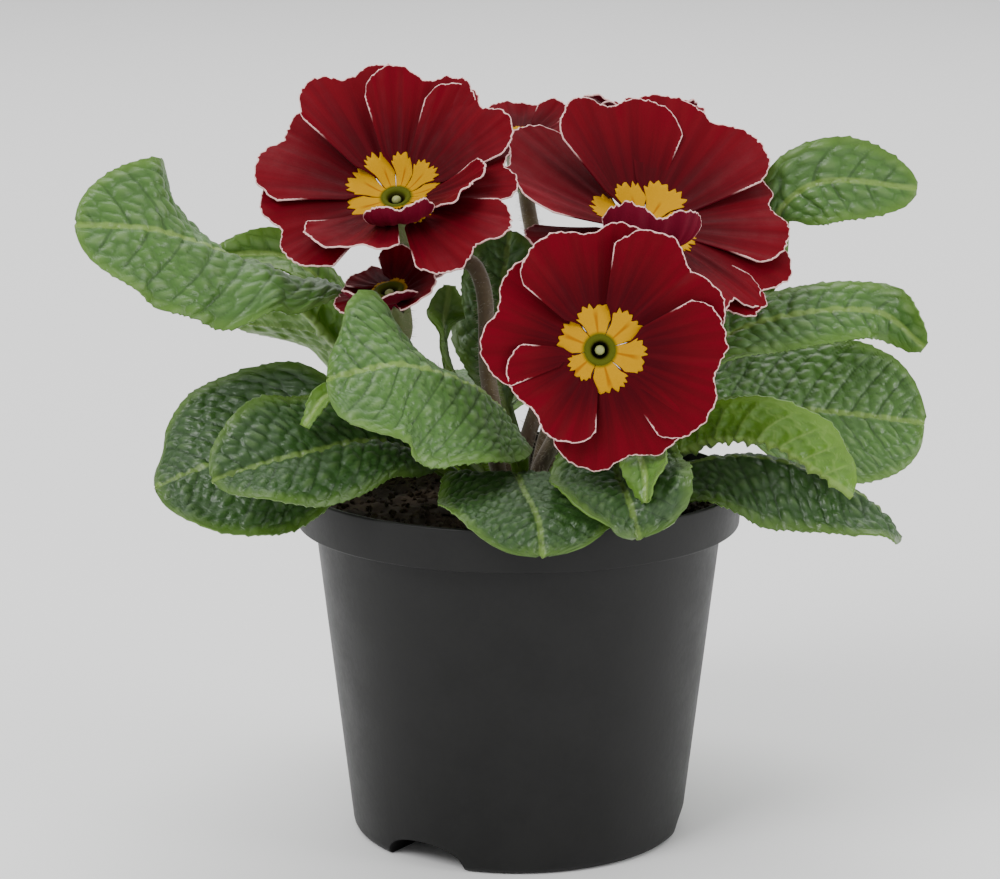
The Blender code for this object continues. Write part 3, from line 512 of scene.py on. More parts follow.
def half_arc(across, lift, curl, reach):
    """How far out and up a strip gets that starts at lift degrees and bends by curl over its reach."""
    start = np.radians(lift)
    turn = np.radians(curl) * across / reach
    turn = np.where(np.abs(turn) < 1e-4, 1e-4, turn)
    radius = across / turn
    out = radius * (np.sin(start + turn) - np.sin(start))
    up = radius * (np.cos(start) - np.cos(start + turn))
    return out, up


def crowded(spread, share):
    """A row of places from -1 to 1, moved closer together near both ends."""
    return ((1 - share) * spread + share * np.sin(spread * np.pi / 2))[None]


def blade_width(share, widest, stalk, peak, wing):
    """Half a primrose leaf's width: a winged stalk, then a blunt oval that is widest at its peak."""
    blade = np.clip((share - stalk) / (1 - stalk), 0, 0.9999)
    oval = np.sin(np.pi * blade ** (math.log(0.5) / math.log(peak))) ** BLADE_FULLNESS
    winged = PETIOLE_HALF_WIDTH + (wing - PETIOLE_HALF_WIDTH) * np.clip(share / stalk, 0, 1) ** 1.5
    return np.maximum(np.maximum(winged * (1 - blade) ** 0.5, widest * oval), TIP_HALF_WIDTH)


def grid_faces(rows, columns):
    """The four-sided faces of a grid of points that are numbered row by row."""
    index = np.arange(rows * columns).reshape(rows, columns)
    return np.stack([index[:-1, :-1], index[:-1, 1:], index[1:, 1:], index[1:, :-1]], -1).reshape(-1, 4)


def shell(top, low, marks, flip=False):
    """A closed solid between two grids. marks holds the two grids of each of its values."""
    rows, columns = top.shape[:2]
    index = np.arange(rows * columns).reshape(rows, columns)
    quads = grid_faces(rows, columns)
    under = rows * columns
    border = np.concatenate([index[:, 0], index[-1, 1:], index[-2::-1, -1], index[0, -2:0:-1]])
    ahead = np.roll(border, -1)
    rim = np.stack([border, ahead, ahead + under, border + under], -1)
    faces = np.vstack([quads, quads[:, ::-1] + under, rim])
    if flip:
        faces = faces[:, ::-1]
    points = np.vstack([top.reshape(-1, 3), low.reshape(-1, 3)])
    values = {
        name: np.concatenate([np.broadcast_to(grid, (rows, columns)).ravel() for grid in pair])
        for name, pair in marks.items()
    }
    return points, faces, values


def lathe(profile, sides, marks):
    """A closed ring or a solid of revolution from radius and height pairs; a radius of 0 is a pole.
    marks holds one list of values for the profile's points under each name."""
    profile = np.asarray(profile, float)
    count = len(profile)
    angles = np.arange(sides) * math.tau / sides
    radius = np.maximum(profile[:, 0], 0.001)[:, None]
    points = np.stack([
        radius * np.cos(angles), radius * np.sin(angles), np.broadcast_to(profile[:, 1:], (count, sides)),
    ], -1)
    index = np.arange(count * sides).reshape(count, sides)
    closed = profile[0, 0] > 0
    low = index if closed else index[:-1]
    high = np.roll(index, -1, 0) if closed else index[1:]
    faces = np.stack([low, np.roll(low, -1, 1), np.roll(high, -1, 1), high], -1).reshape(-1, 4)
    faces = faces.tolist()
    if not closed:
        faces += [tuple(index[0][::-1]), tuple(index[-1])]
    values = {name: np.repeat(np.asarray(row, float), sides) for name, row in marks.items()}
    return points.reshape(-1, 3), faces, values


def mesh_object(name, shapes, finish):
    """One smooth object from shapes in millimetres. A mark called u or v goes to the UV map."""
    points = np.vstack([shape[0] for shape in shapes]) * MM
    faces, start = [], 0
    for shape in shapes:
        faces += [tuple(int(k) + start for k in face) for face in shape[1]]
        start += len(shape[0])
    mesh = bpy.data.meshes.new(name)
    mesh.from_pydata(points.tolist(), [], faces)
    mesh.update()
    values = {key: np.concatenate([shape[2][key] for shape in shapes]) for key in shapes[0][2]}
    for key, row in values.items():
        if key not in ("u", "v"):
            mesh.attributes.new(key, "FLOAT", "POINT").data.foreach_set("value", row.astype(np.float32))
    if "u" in values:
        corner = np.zeros(len(mesh.loops), int)
        mesh.loops.foreach_get("vertex_index", corner)
        layer = mesh.uv_layers.new(name="UVMap")
        spread = np.stack([values["u"][corner], values["v"][corner]], -1)
        layer.data.foreach_set("uv", spread.astype(np.float32).ravel())
    mesh.shade_smooth()
    mesh.materials.append(finish)
    made = bpy.data.objects.new(name, mesh)
    bpy.context.scene.collection.objects.link(made)
    return made


def outward(made, weld=WELD):
    """Welds an object's seams and turns its faces outwards."""
    shape = bmesh.new()
    shape.from_mesh(made.data)
    bmesh.ops.remove_doubles(shape, verts=shape.verts, dist=weld * MM)
    bmesh.ops.dissolve_degenerate(shape, edges=shape.edges, dist=weld * MM)
    bmesh.ops.recalc_face_normals(shape, faces=shape.faces)
    shape.to_mesh(made.data)
    shape.free()
    made.data.shade_smooth()


def bake(target):
    """Applies the object's modifiers."""
    graph = bpy.context.evaluated_depsgraph_get()
    graph.update()
    made = bpy.data.meshes.new_from_object(target.evaluated_get(graph))
    target.modifiers.clear()
    target.data = made


def cut_or_join(target, other, operation):
    """A Boolean with another object, applied, after which the other is removed."""
    step = target.modifiers.new(operation.lower(), "BOOLEAN")
    step.operation = operation
    step.object = other
    bake(target)
    bpy.data.objects.remove(other)


def settle(made, slot, *nodes):
    """Puts a finished piece on the plant in the place of the plain solids it stands for."""
    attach(made, BODY)
    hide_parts(*nodes)
    return made


# Node trees

def group_tree(name, inputs, outputs):
    """An empty shader node group with these sockets, each a name, a kind and for inputs a value."""
    tree = bpy.data.node_groups.new(name, "ShaderNodeTree")
    for label, kind, value in inputs:
        socket = tree.interface.new_socket(label, in_out="INPUT", socket_type=f"NodeSocket{kind}")
        socket.default_value = (*value, 1.0) if kind == "Color" else value
    for label, kind in outputs:
        tree.interface.new_socket(label, in_out="OUTPUT", socket_type=f"NodeSocket{kind}")
    tree.nodes.new("NodeGroupInput")
    tree.nodes.new("NodeGroupOutput")
    return tree


class Wires:
    """Adds nodes to a tree and joins them: an argument is a socket or a plain value."""

    def __init__(self, tree):
        self.tree = tree
        self.start = next((n for n in tree.nodes if n.type == "GROUP_INPUT"), None)
        self.end = next((n for n in tree.nodes if n.type == "GROUP_OUTPUT"), None)

    def given(self, label):
        return self.start.outputs[label]

    def put(self, socket, value):
        if isinstance(value, bpy.types.NodeSocket):
            self.tree.links.new(value, socket)
        elif isinstance(value, (tuple, list)) and socket.type == "RGBA" and len(value) == 3:
            socket.default_value = (*value, 1.0)
        else:
            socket.default_value = value

    def node(self, kind, values=(), **settings):
        made = self.tree.nodes.new(kind)
        for key, value in settings.items():
            setattr(made, key, value)
        for key, value in dict(values).items():
            self.put(made.inputs[key], value)
        return made

    def math(self, operation, first, second=0.0, clamp=False):
        made = self.node("ShaderNodeMath", {0: first, 1: second}, operation=operation, use_clamp=clamp)
        return made.outputs[0]

    def place(self):
        return self.node("ShaderNodeTexCoord").outputs["Object"]

    def attribute(self, name):
        return self.node("ShaderNodeAttribute", attribute_name=name).outputs["Fac"]

    def ramp(self, value, low, high, start=0.0, end=1.0):
        """A smooth run from start to end as value goes from low to high."""
        made = self.node("ShaderNodeMapRange", interpolation_type="SMOOTHSTEP")
        names = ("Value", "From Min", "From Max", "To Min", "To Max")
        for key, part in zip(names, (value, low, high, start, end)):
            self.put(made.inputs[key], part)
        return made.outputs["Result"]

    def mix(self, share, first, second, way="MIX"):
        made = self.node("ShaderNodeMix", data_type="RGBA", blend_type=way)
        for key, part in ((0, share), (6, first), (7, second)):
            self.put(made.inputs[key], part)
        return made.outputs[2]

    def noise(self, vector, scale, detail=3.0, rough=0.55):
        made = self.node("ShaderNodeTexNoise", {"Scale": scale, "Detail": detail, "Roughness": rough})
        if vector is not None:
            self.put(made.inputs["Vector"], vector)
        return made.outputs["Fac"]

    def combine(self, x, y, z=0.0):
        return self.node("ShaderNodeCombineXYZ", {0: x, 1: y, 2: z}).outputs[0]

    def finish(self, **results):
        for label, value in results.items():
            self.put(self.end.inputs[label.replace("_", " ").title()], value)


def grain_tree():
    """Fine unevenness of colour, gloss and height that every surface here shares."""
    found = bpy.data.node_groups.get("Fine Grain")
    if found:
        return found
    tree = group_tree(
        "Fine Grain",
        [("Scale", "Float", 900.0), ("Depth", "Float", 0.2), ("Vector", "Vector", (0, 0, 0))],
        [("Tone", "Float"), ("Height", "Float")],
    )
    w = Wires(tree)
    broad = w.noise(w.given("Vector"), w.math("MULTIPLY", w.given("Scale"), 0.12), 2.0)
    fine = w.noise(w.given("Vector"), w.given("Scale"), 4.0, 0.6)
    tone = w.math("ADD", w.math("MULTIPLY", broad, 0.6), w.math("MULTIPLY", fine, 0.4))
    w.finish(tone=tone, height=w.math("MULTIPLY", fine, w.given("Depth")))
    return tree


def speckled(w, scale, depth, vector):
    """Places the fine grain, and gives its tone and its height."""
    made = w.node("ShaderNodeGroup", node_tree=grain_tree())
    for key, value in (("Scale", scale), ("Depth", depth), ("Vector", vector)):
        w.put(made.inputs[key], value)
    return made.outputs["Tone"], made.outputs["Height"]


def leaf_tree():
    """Leaf colour, gloss and relief from a leaf's veins, cells, margin and face, with painted sheen on the
    raised cells, painted shade in the vein grooves and a painted glow at the margin.
    """
    tree = group_tree(
        "Leaf Surface",
        [
            ("Top", "Color", (0.1, 0.2, 0.03)), ("Under", "Color", (0.15, 0.3, 0.05)),
            ("Vein", "Color", (0.4, 0.5, 0.15)), ("Vein Share", "Float", 0.7),
            ("Painted Sheen", "Float", 0.3),
        ],
        [("Colour", "Color"), ("Roughness", "Float"), ("Height", "Float")],
    )
    w = Wires(tree)
    uv = w.node("ShaderNodeUVMap", uv_map="UVMap").outputs[0]
    parts = w.node("ShaderNodeSeparateXYZ", {0: uv})
    across = w.math("MULTIPLY", w.math("ABSOLUTE", parts.outputs[1]), UV_SIZE)
    cell, edge, under, run = (w.attribute(name) for name in ("cell", "edge", "under", "run"))
    part = w.math("ABSOLUTE", w.math("SUBTRACT", w.math("FRACT", w.math("ADD", run, 0.5)), 0.5))
    midrib = w.ramp(across, 0.95, 0.35)
    side_vein = w.math("MULTIPLY", w.ramp(part, 0.07, 0.02), w.ramp(edge, 0.5, 5.0))
    net = w.math("MULTIPLY", w.ramp(cell, 0.22, 0.02), w.ramp(edge, 0.0, 3.0, 0.2, 0.45))
    veins = w.math("MAXIMUM", midrib, w.math("MAXIMUM", w.math("MULTIPLY", side_vein, 0.65), net))
    tone, specks = speckled(w, 90.0, 0.35, uv)
    hills = w.math("MULTIPLY", w.ramp(cell, 0.2, 0.8), w.ramp(tone, 0.4, 0.6, 0.35, 1.0))
    # Painted sheen: the raised cells are lightened and greyed towards LEAF_SHEEN
    base = w.mix(w.math("MULTIPLY", hills, w.given("Painted Sheen")), w.given("Top"), LEAF_SHEEN)
    base = w.mix(w.ramp(tone, 0.35, 0.65, 0.0, 0.4), base, w.mix(0.7, base, LEAF_SHADE))
    # Painted shade: the side-vein grooves and the net between the cells are darkened
    painted_groove_shade = w.math("MULTIPLY", w.math("MAXIMUM", side_vein, net), 0.75)
    base = w.mix(painted_groove_shade, base, w.mix(0.6, w.given("Top"), GROOVE_SHADE))
    base = w.mix(w.math("MULTIPLY", midrib, w.given("Vein Share")), base, w.given("Vein"))
    lower = w.mix(w.math("MULTIPLY", veins, 0.6), w.given("Under"), UNDER_VEIN)
    lower = w.mix(w.ramp(tone, 0.3, 0.7, 0.0, 0.35), lower, w.mix(0.6, lower, UNDER_SHADE))
    colour = w.mix(under, base, lower)
    # Painted glow: the outer few millimetres of each leaf are tinged yellow-green as if lit through
    colour = w.mix(w.math("MULTIPLY", w.ramp(edge, 3.5, 0.4), 0.3), colour, PAINTED_MARGIN_GLOW)
    height = w.math("ADD", specks, w.math("MULTIPLY", w.ramp(cell, 0.0, 0.3), 0.4))
    w.finish(colour=colour, roughness=w.ramp(tone, 0.3, 0.7, 0.3, 0.46), height=height)
    return tree


def new_material(name):
    made = bpy.data.materials.new(name)
    made.use_nodes = True
    return made, Wires(made.node_tree), made.node_tree.nodes["Principled BSDF"]


def bump(w, shader, height, strength, distance):
    made = w.node("ShaderNodeBump", {"Strength": strength, "Distance": distance, "Height": height})
    w.put(shader.inputs["Normal"], made.outputs[0])


def leaf_material(name, tree, top, settings, vein_share, bloom):
    """A leaf's finish: vein_share is how pale its midrib is, and bloom how much painted sheen greys its
    raised cells.
    """
    made, w, shader = new_material(name)
    surface = w.node("ShaderNodeGroup", node_tree=tree)
    for key, value in (
        ("Top", tuple(top)), ("Under", tuple(settings.under_colour)), ("Vein", tuple(settings.vein_colour)),
        ("Vein Share", vein_share), ("Painted Sheen", bloom),
    ):
        w.put(surface.inputs[key], value)
    w.put(shader.inputs["Base Color"], surface.outputs["Colour"])
    w.put(shader.inputs["Roughness"], surface.outputs["Roughness"])
    bump(w, shader, surface.outputs["Height"], 0.5, 0.0004)
    shader.inputs["Sheen Weight"].default_value = 0.1
    shader.inputs["Sheen Roughness"].default_value = 0.4
    shader.inputs["Specular IOR Level"].default_value = 0.4
    return made


def petal_material(settings):
    """Velvet red that darkens towards the eye, partly its own colour and partly painted shade, with faint
    streaks, a paler underside and a thin, broken pale line at the edge.
    """
    made, w, shader = new_material("petal_velvet")
    uv = w.node("ShaderNodeUVMap", uv_map="UVMap").outputs[0]
    parts = w.node("ShaderNodeSeparateXYZ", {0: uv})
    out, edge, under = (w.attribute(name) for name in ("out", "edge", "under"))
    streaks = w.noise(w.combine(w.math("MULTIPLY", parts.outputs[0], 26.0), parts.outputs[1], 0.0), 2.0, 3.0)
    tone, specks = speckled(w, 260.0, 0.3, uv)
    # Darker towards the eye: partly the petal's own deeper red and partly painted shade
    share = w.math("ADD", w.ramp(out, 0.3, 1.0, 0.0, 0.85), w.ramp(streaks, 0.35, 0.65, -0.1, 0.2), True)
    upper = w.mix(share, tuple(settings.deep_red), tuple(settings.red))
    lower = w.mix(w.ramp(streaks, 0.3, 0.7, 0.0, 0.4), tuple(settings.under_red), PETAL_UNDER_STREAK)
    colour = w.mix(under, upper, lower)
    ragged = w.noise(uv, 160.0, 2.0)
    width = w.math("MULTIPLY", w.ramp(ragged, 0.3, 0.75, 0.45, 1.25), settings.edge_width / MM)
    line = w.ramp(w.math("DIVIDE", edge, width), 1.15, 0.7)
    line = w.math("MULTIPLY", line, w.ramp(ragged, 0.24, 0.36, 0.35, 1.0))
    line = w.math("MULTIPLY", line, w.ramp(out, 0.7, 0.9))
    colour = w.mix(line, colour, tuple(settings.edge_colour))
    w.put(shader.inputs["Base Color"], colour)
    w.put(shader.inputs["Roughness"], w.ramp(tone, 0.3, 0.7, 0.5, 0.68))
    height = w.math("ADD", specks, w.math("MULTIPLY", streaks, 0.8))
    bump(w, shader, height, 0.35, 0.0004)
    shader.inputs["Sheen Weight"].default_value = 0.12
    shader.inputs["Sheen Roughness"].default_value = 0.35
    shader.inputs["Sheen Tint"].default_value = (*VELVET_SHEEN, 1.0)
    shader.inputs["Specular IOR Level"].default_value = 0.06
    return made


def eye_material(settings):
    """Yellow lobes with a rusty line down each, round an olive throat whose bore is painted dark as shade.
    """
    made, w, shader = new_material("eye_yellow")
    reach, side = w.attribute("reach"), w.attribute("side")
    tone, specks = speckled(w, 1500.0, 0.3, w.place())
    colour = w.mix(w.ramp(tone, 0.3, 0.7, 0.0, 0.4), tuple(settings.eye_colour), EYE_GOLD)
    line = w.ramp(w.math("ABSOLUTE", side), 0.16, 0.03)
    line = w.math("MULTIPLY", line, w.math("MULTIPLY", w.ramp(reach, 3.0, 4.4), w.ramp(reach, 9.5, 7.0)))
    colour = w.mix(w.math("MULTIPLY", line, 0.75), colour, tuple(settings.eye_line_colour))
    colour = w.mix(w.ramp(reach, 4.3, 3.2), colour, tuple(settings.throat_colour))
    # Painted shade: the bore of the throat is darkened
    colour = w.mix(w.ramp(reach, 2.3, 1.7), colour, BORE_PAINTED_SHADE)
    w.put(shader.inputs["Base Color"], colour)
    bump(w, shader, specks, 0.3, 0.0003)
    shader.inputs["Roughness"].default_value = 0.5
    shader.inputs["Specular IOR Level"].default_value = 0.02
    return made


def simple_material(name, colour, other, roughness, scale, depth, specular=0.3):
    """A finish whose colour, gloss and relief vary a little with a fine grain."""
    made, w, shader = new_material(name)
    tone, specks = speckled(w, scale, 1.0, w.place())
    w.put(shader.inputs["Base Color"], w.mix(w.ramp(tone, 0.3, 0.7), tuple(colour), tuple(other)))
    w.put(shader.inputs["Roughness"], w.ramp(tone, 0.3, 0.7, *roughness))
    bump(w, shader, specks, 0.5, depth)
    shader.inputs["Specular IOR Level"].default_value = specular
    return made


# Pieces

def object_of(shape, name):
    """An object of a bmesh, which is freed."""
    mesh = bpy.data.meshes.new(name)
    shape.to_mesh(mesh)
    shape.free()
    made = bpy.data.objects.new(name, mesh)
    bpy.context.scene.collection.objects.link(made)
    return made


def prism(outline, depth, matrix):
    """A block for a Boolean: an outline in X and Z pushed along Y, then placed by a matrix."""
    shape = bmesh.new()
    verts = [shape.verts.new((x * MM, 0, z * MM)) for x, z in outline]
    face = shape.faces.new(verts)
    pushed = bmesh.ops.extrude_face_region(shape, geom=[face])["geom"]
    moved = [v for v in pushed if isinstance(v, bmesh.types.BMVert)]
    bmesh.ops.translate(shape, vec=(0, -depth * MM, 0), verts=moved)
    bmesh.ops.recalc_face_normals(shape, faces=shape.faces)
    made = object_of(shape, "block")
    made.matrix_world = matrix
    return made


def column(radius, low, high, sides, x, y):
    """An upright round cutter."""
    shape = bmesh.new()
    bmesh.ops.create_cone(
        shape, cap_ends=True, segments=sides, radius1=radius * MM, radius2=radius * MM,
        depth=(high - low) * MM, matrix=Matrix.Translation(Vector((x, y, (low + high) / 2)) * MM),
    )
    return object_of(shape, "column")


def pocket_block(azimuth, grow, reach):
    """A drainage pocket as a block from its inner end out to a radius of reach."""
    start = POCKET_INNER_RADIUS - grow
    wide, tall = POCKET_HALF_WIDTH + grow, POCKET_HEIGHT + grow
    arch = [
        (wide * math.cos(angle), tall * math.sin(angle) ** POCKET_SQUARENESS)
        for angle in np.linspace(0, math.pi, POCKET_SIDES + 1)
    ]
    outline = [(wide, -CUT_REACH), *arch, (-wide, -CUT_REACH)]
    turn = Matrix.Rotation(math.radians(azimuth), 4, "Z")
    return prism(outline, reach - start, turn @ Matrix.Translation(Vector((0, -start, 0)) * MM))


def rounded(profile, radii):
    """A closed profile with its corners rounded by these radii."""
    profile = np.asarray(profile, float)
    done = []
    for k, radius in enumerate(radii):
        before, here, after = profile[k - 1], profile[k], profile[(k + 1) % len(profile)]
        if radius == 0:
            done.append(here)
            continue
        first, last = here + unit(before - here) * radius, here + unit(after - here) * radius
        for t in np.linspace(0, 1, ROUND_STEPS):
            done.append(first * (1 - t) ** 2 + 2 * here * t * (1 - t) + last * t**2)
    return done


class PRIMROSE_OT_pot(bpy.types.Operator):
    """Make the thin plastic pot with its collar, drainage pockets and drain holes"""

    bl_idname = "primrose.pot"
    bl_label = "Pot"

    def execute(self, context):
        sizes = context.scene.primrose_pot
        height, rim, base = sizes.height / MM, sizes.rim_radius / MM, sizes.base_radius / MM
        shoulder_radius, wall = sizes.shoulder_radius / MM, sizes.wall / MM
        shoulder, inside = height - sizes.collar / MM, rim - wall
        profile = [
            (0, 0), (base, 0), (shoulder_radius, shoulder), (rim - COLLAR_TAPER, shoulder), (rim, height),
            (inside, height), (inside - COLLAR_TAPER, shoulder + wall),
            (shoulder_radius - wall, shoulder + wall), (base - wall, wall + FLOOR_DISH), (0, wall),
        ]
        finish = simple_material(
            "pot_plastic", sizes.colour, [c * 1.5 for c in sizes.colour], (0.42, 0.52),
            scale=700.0, depth=0.00006, specular=0.22,
        )
        pot = mesh_object("nursery_pot", [lathe(rounded(profile, POT_ROUNDS), POT_SIDES, {})], finish)
        outward(pot)
        for azimuth in POCKET_AZIMUTHS:
            raised = pocket_block(azimuth, wall, base + CUT_REACH)
            inner = column(base - wall / 2, wall / 2, POCKET_HEIGHT + CUT_REACH, POT_SIDES, 0, 0)
            cut_or_join(raised, inner, "INTERSECT")
            cut_or_join(pot, raised, "UNION")
        for azimuth in POCKET_AZIMUTHS:
            cut_or_join(pot, pocket_block(azimuth, 0, base + CUT_REACH), "DIFFERENCE")
            angle = math.radians(azimuth)
            drain = column(
                DRAIN_RADIUS, POCKET_HEIGHT - wall, POCKET_HEIGHT + 2 * wall, DRAIN_SIDES,
                DRAIN_PLACE * math.sin(angle), -DRAIN_PLACE * math.cos(angle),
            )
            cut_or_join(pot, drain, "DIFFERENCE")
        outward(pot)
        pot.data.materials.clear()
        pot.data.materials.append(finish)
        pot.data.set_sharp_from_angle(angle=math.radians(POT_CREASE))
        settle(pot, "pot", "pot")
        return {"FINISHED"}


def soil_height(x, y, rim):
    """The peat's lumpy top, a little higher round the crown."""
    far = np.hypot(x, y) / rim
    first, second, third, fourth = LUMP_WAVES
    lumps = np.sin(first * x + 1) * np.cos(second * y) + np.sin(third * x + fourth * y) / 2
    fade = np.clip(4 * (1 - far), 0, 1)
    fine = np.sin(1.9 * x + 0.7 * y) * np.sin(2.3 * y - 0.9 * x + 2) * FINE_LUMP
    return SOIL_EDGE + SOIL_MOUND * (1 - far**2) + (SOIL_LUMP * lumps + fine) * fade


def growth_tree(name, inputs):
    """An empty geometry node tree that adds things to a surface, with these inputs and a finish."""
    tree = bpy.data.node_groups.new(name, "GeometryNodeTree")
    tree.interface.new_socket("Geometry", in_out="INPUT", socket_type="NodeSocketGeometry")
    for label, kind, value in (*inputs, ("Seed", "Int", 0)):
        socket = tree.interface.new_socket(label, in_out="INPUT", socket_type=f"NodeSocket{kind}")
        socket.default_value = value
    tree.interface.new_socket("Finish", in_out="INPUT", socket_type="NodeSocketMaterial")
    tree.interface.new_socket("Geometry", in_out="OUTPUT", socket_type="NodeSocketGeometry")
    tree.nodes.new("NodeGroupInput")
    tree.nodes.new("NodeGroupOutput")
    return tree, Wires(tree)


def drawn(w, low, high, seed):
    """A random value for each point, which is a vector where its limits are."""
    vector = isinstance(low, tuple)
    made = w.node("FunctionNodeRandomValue", data_type="FLOAT_VECTOR" if vector else "FLOAT")
    first = 0 if vector else 2
    for key, value in ((first, low), (first + 1, high), ("Seed", seed)):
        w.put(made.inputs[key], value)
    return made.outputs[0 if vector else 1]


def spots_on(w, **limits):
    """Points scattered over the tree's surface."""
    values = {"Mesh": w.given("Geometry"), "Density": w.given("Density"), "Seed": w.given("Seed")}
    return w.node("GeometryNodeDistributePointsOnFaces", values | limits)


def stand_out(w, spots, thing, turn, size):
    """Puts a copy of a thing on every spot, in its finish, and joins them all to the surface."""
    copies = w.node("GeometryNodeInstanceOnPoints", {
        "Points": spots.outputs["Points"], "Instance": thing, "Rotation": turn, "Scale": size,
    })
    real = w.node("GeometryNodeRealizeInstances", {"Geometry": copies.outputs[0]})
    dressed = w.node("GeometryNodeSetMaterial", {"Geometry": real.outputs[0], "Material": w.given("Finish")})
    both = w.node("GeometryNodeJoinGeometry")
    for part in (w.given("Geometry"), dressed.outputs[0]):
        w.put(both.inputs[0], part)
    w.put(w.end.inputs[0], both.outputs[0])


def crumb_tree():
    """Scatters rough crumbs over the parts of a surface that face up."""
    tree, w = growth_tree("Peat Crumbs", [("Density", "Float", 100000.0), ("Crumb Size", "Float", 0.002)])
    normal = w.node("GeometryNodeInputNormal").outputs[0]
    rise = w.node("ShaderNodeSeparateXYZ", {0: normal}).outputs[2]
    upward = w.node("FunctionNodeCompare", {0: rise, 1: CRUMB_SLOPE}, operation="GREATER_THAN").outputs[0]
    spots = spots_on(w, Selection=upward)
    lump = w.node("GeometryNodeMeshIcoSphere", {"Radius": w.given("Crumb Size"), "Subdivisions": 2})
    rough = w.node("ShaderNodeTexNoise", {"Scale": 700.0, "Detail": 1.0}).outputs["Fac"]
    push = w.math("MULTIPLY", w.math("SUBTRACT", rough, 0.5), CRUMB_ROUGHNESS)
    place = w.node("GeometryNodeInputPosition").outputs[0]
    swell = w.node("ShaderNodeVectorMath", {0: place, "Scale": push}, operation="SCALE").outputs[0]
    shaped = w.node("GeometryNodeSetPosition", {"Geometry": lump.outputs["Mesh"], "Offset": swell})
    turn = drawn(w, (0.0,) * 3, (math.tau,) * 3, w.given("Seed"))
    size = drawn(w, SMALLEST_CRUMB, LARGEST_CRUMB, w.math("ADD", w.given("Seed"), CRUMB_SEED_STEP))
    stand_out(w, spots, shaped.outputs["Geometry"], turn, size)
    return tree


def hair_tree():
    """Stands fine tapered hairs on a surface, more or less square to it."""
    tree, w = growth_tree("Stem Hairs", [
        ("Density", "Float", 500000.0), ("Hair Length", "Float", 0.001),
        ("Hair Radius", "Float", HAIR_RADIUS),
    ])
    spots = spots_on(w)
    hair = w.node("GeometryNodeMeshCone", {
        "Vertices": 3, "Radius Top": HAIR_TIP, "Radius Bottom": w.given("Hair Radius"),
        "Depth": w.given("Hair Length"),
    }, fill_type="NONE")
    lean = drawn(w, (-HAIR_LEAN, -HAIR_LEAN, 0.0), (HAIR_LEAN, HAIR_LEAN, 3.0), w.given("Seed"))
    turn = w.node("FunctionNodeRotateRotation", {0: spots.outputs["Rotation"], 1: lean})
    turn.rotation_space = "LOCAL"
    size = drawn(w, 0.5, 1.1, w.given("Seed"))
    stand_out(w, spots, hair.outputs["Mesh"], turn.outputs[0], size)
    return tree


def grow_nodes(made, tree, values):
    """Runs a geometry node tree on an object with these values and leaves a plain mesh."""
    step = made.modifiers.new(tree.name, "NODES")
    step.node_group = tree
    for item in tree.interface.items_tree:
        if item.item_type == "SOCKET" and item.in_out == "INPUT" and item.name in values:
            step[item.identifier] = values[item.name]
    bake(made)


class PRIMROSE_OT_peat(bpy.types.Operator):
    """Make the peat with its crumbs"""

    bl_idname = "primrose.peat"
    bl_label = "Peat"

    def execute(self, context):
        sizes, pot = context.scene.primrose_peat, context.scene.primrose_pot
        rim = pot.rim_radius / MM
        inside = rim - pot.wall / MM - COLLAR_TAPER - GAP
        ring = np.sqrt(np.linspace(0, 1, SOIL_RINGS + 1))[1:] * inside
        angles = np.arange(SOIL_SPOKES + 1) * math.tau / SOIL_SPOKES
        x, y = ring[:, None] * np.cos(angles), ring[:, None] * np.sin(angles)
        top = np.stack([x, y, soil_height(x, y, rim)], -1)
        ledge = pot.height / MM - pot.collar / MM + pot.wall / MM + GAP
        inner = pot.shoulder_radius / MM - pot.wall / MM - 2 * GAP
        circle = np.stack([np.cos(angles), np.sin(angles), np.zeros(len(angles))], -1)
        bottom = SOIL_EDGE - SOIL_DEPTH
        corners = ((0, bottom), (inner - 1, bottom), (inner, ledge), (inside, ledge))
        skirt = [circle * radius + [0, 0, height] for radius, height in corners]
        centre = circle * 0 + [0, 0, soil_height(0, 0, rim)]
        grid = np.concatenate([skirt, top[::-1], centre[None]])
        finish = simple_material(
            "peat", sizes.colour, sizes.dry_colour, (0.85, 0.98), scale=900.0, depth=0.0006, specular=0.2
        )
        peat = mesh_object("peat", [(grid.reshape(-1, 3), grid_faces(*grid.shape[:2]), {})], finish)
        outward(peat)
        grow_nodes(peat, crumb_tree(), {
            "Density": sizes.crumb_density, "Crumb Size": sizes.crumb_size, "Seed": sizes.seed,
            "Finish": finish,
        })
        settle(peat, "peat", "soil")
        return {"FINISHED"}


def vein_cells(run, across, hand, seed):
    """How far each point is from the veins' net: 0 on it and 1 in the middle of a cell."""
    p, q = run * 2, across / CELL_WIDTH
    first = np.full(p.shape, 9.0)
    second = np.full(p.shape, 9.0)
    base_p, base_q = np.floor(p), np.floor(q)
    for dp in (-1, 0, 1):
        for dq in (-1, 0, 1):
            i, j = base_p + dp, base_q + dq
            spot_p = i + 0.5 + (hashed(i, j, hand, seed) - 0.5) * 2 * CELL_JITTER
            spot_q = j + 0.5 + (hashed(j, i, hand + 3, seed) - 0.5) * 2 * CELL_JITTER + 0.5 * np.mod(i, 2)
            far = np.hypot(p - spot_p, q - spot_q)
            second = np.minimum(second, np.maximum(far, first))
            first = np.minimum(first, far)
    return second - first


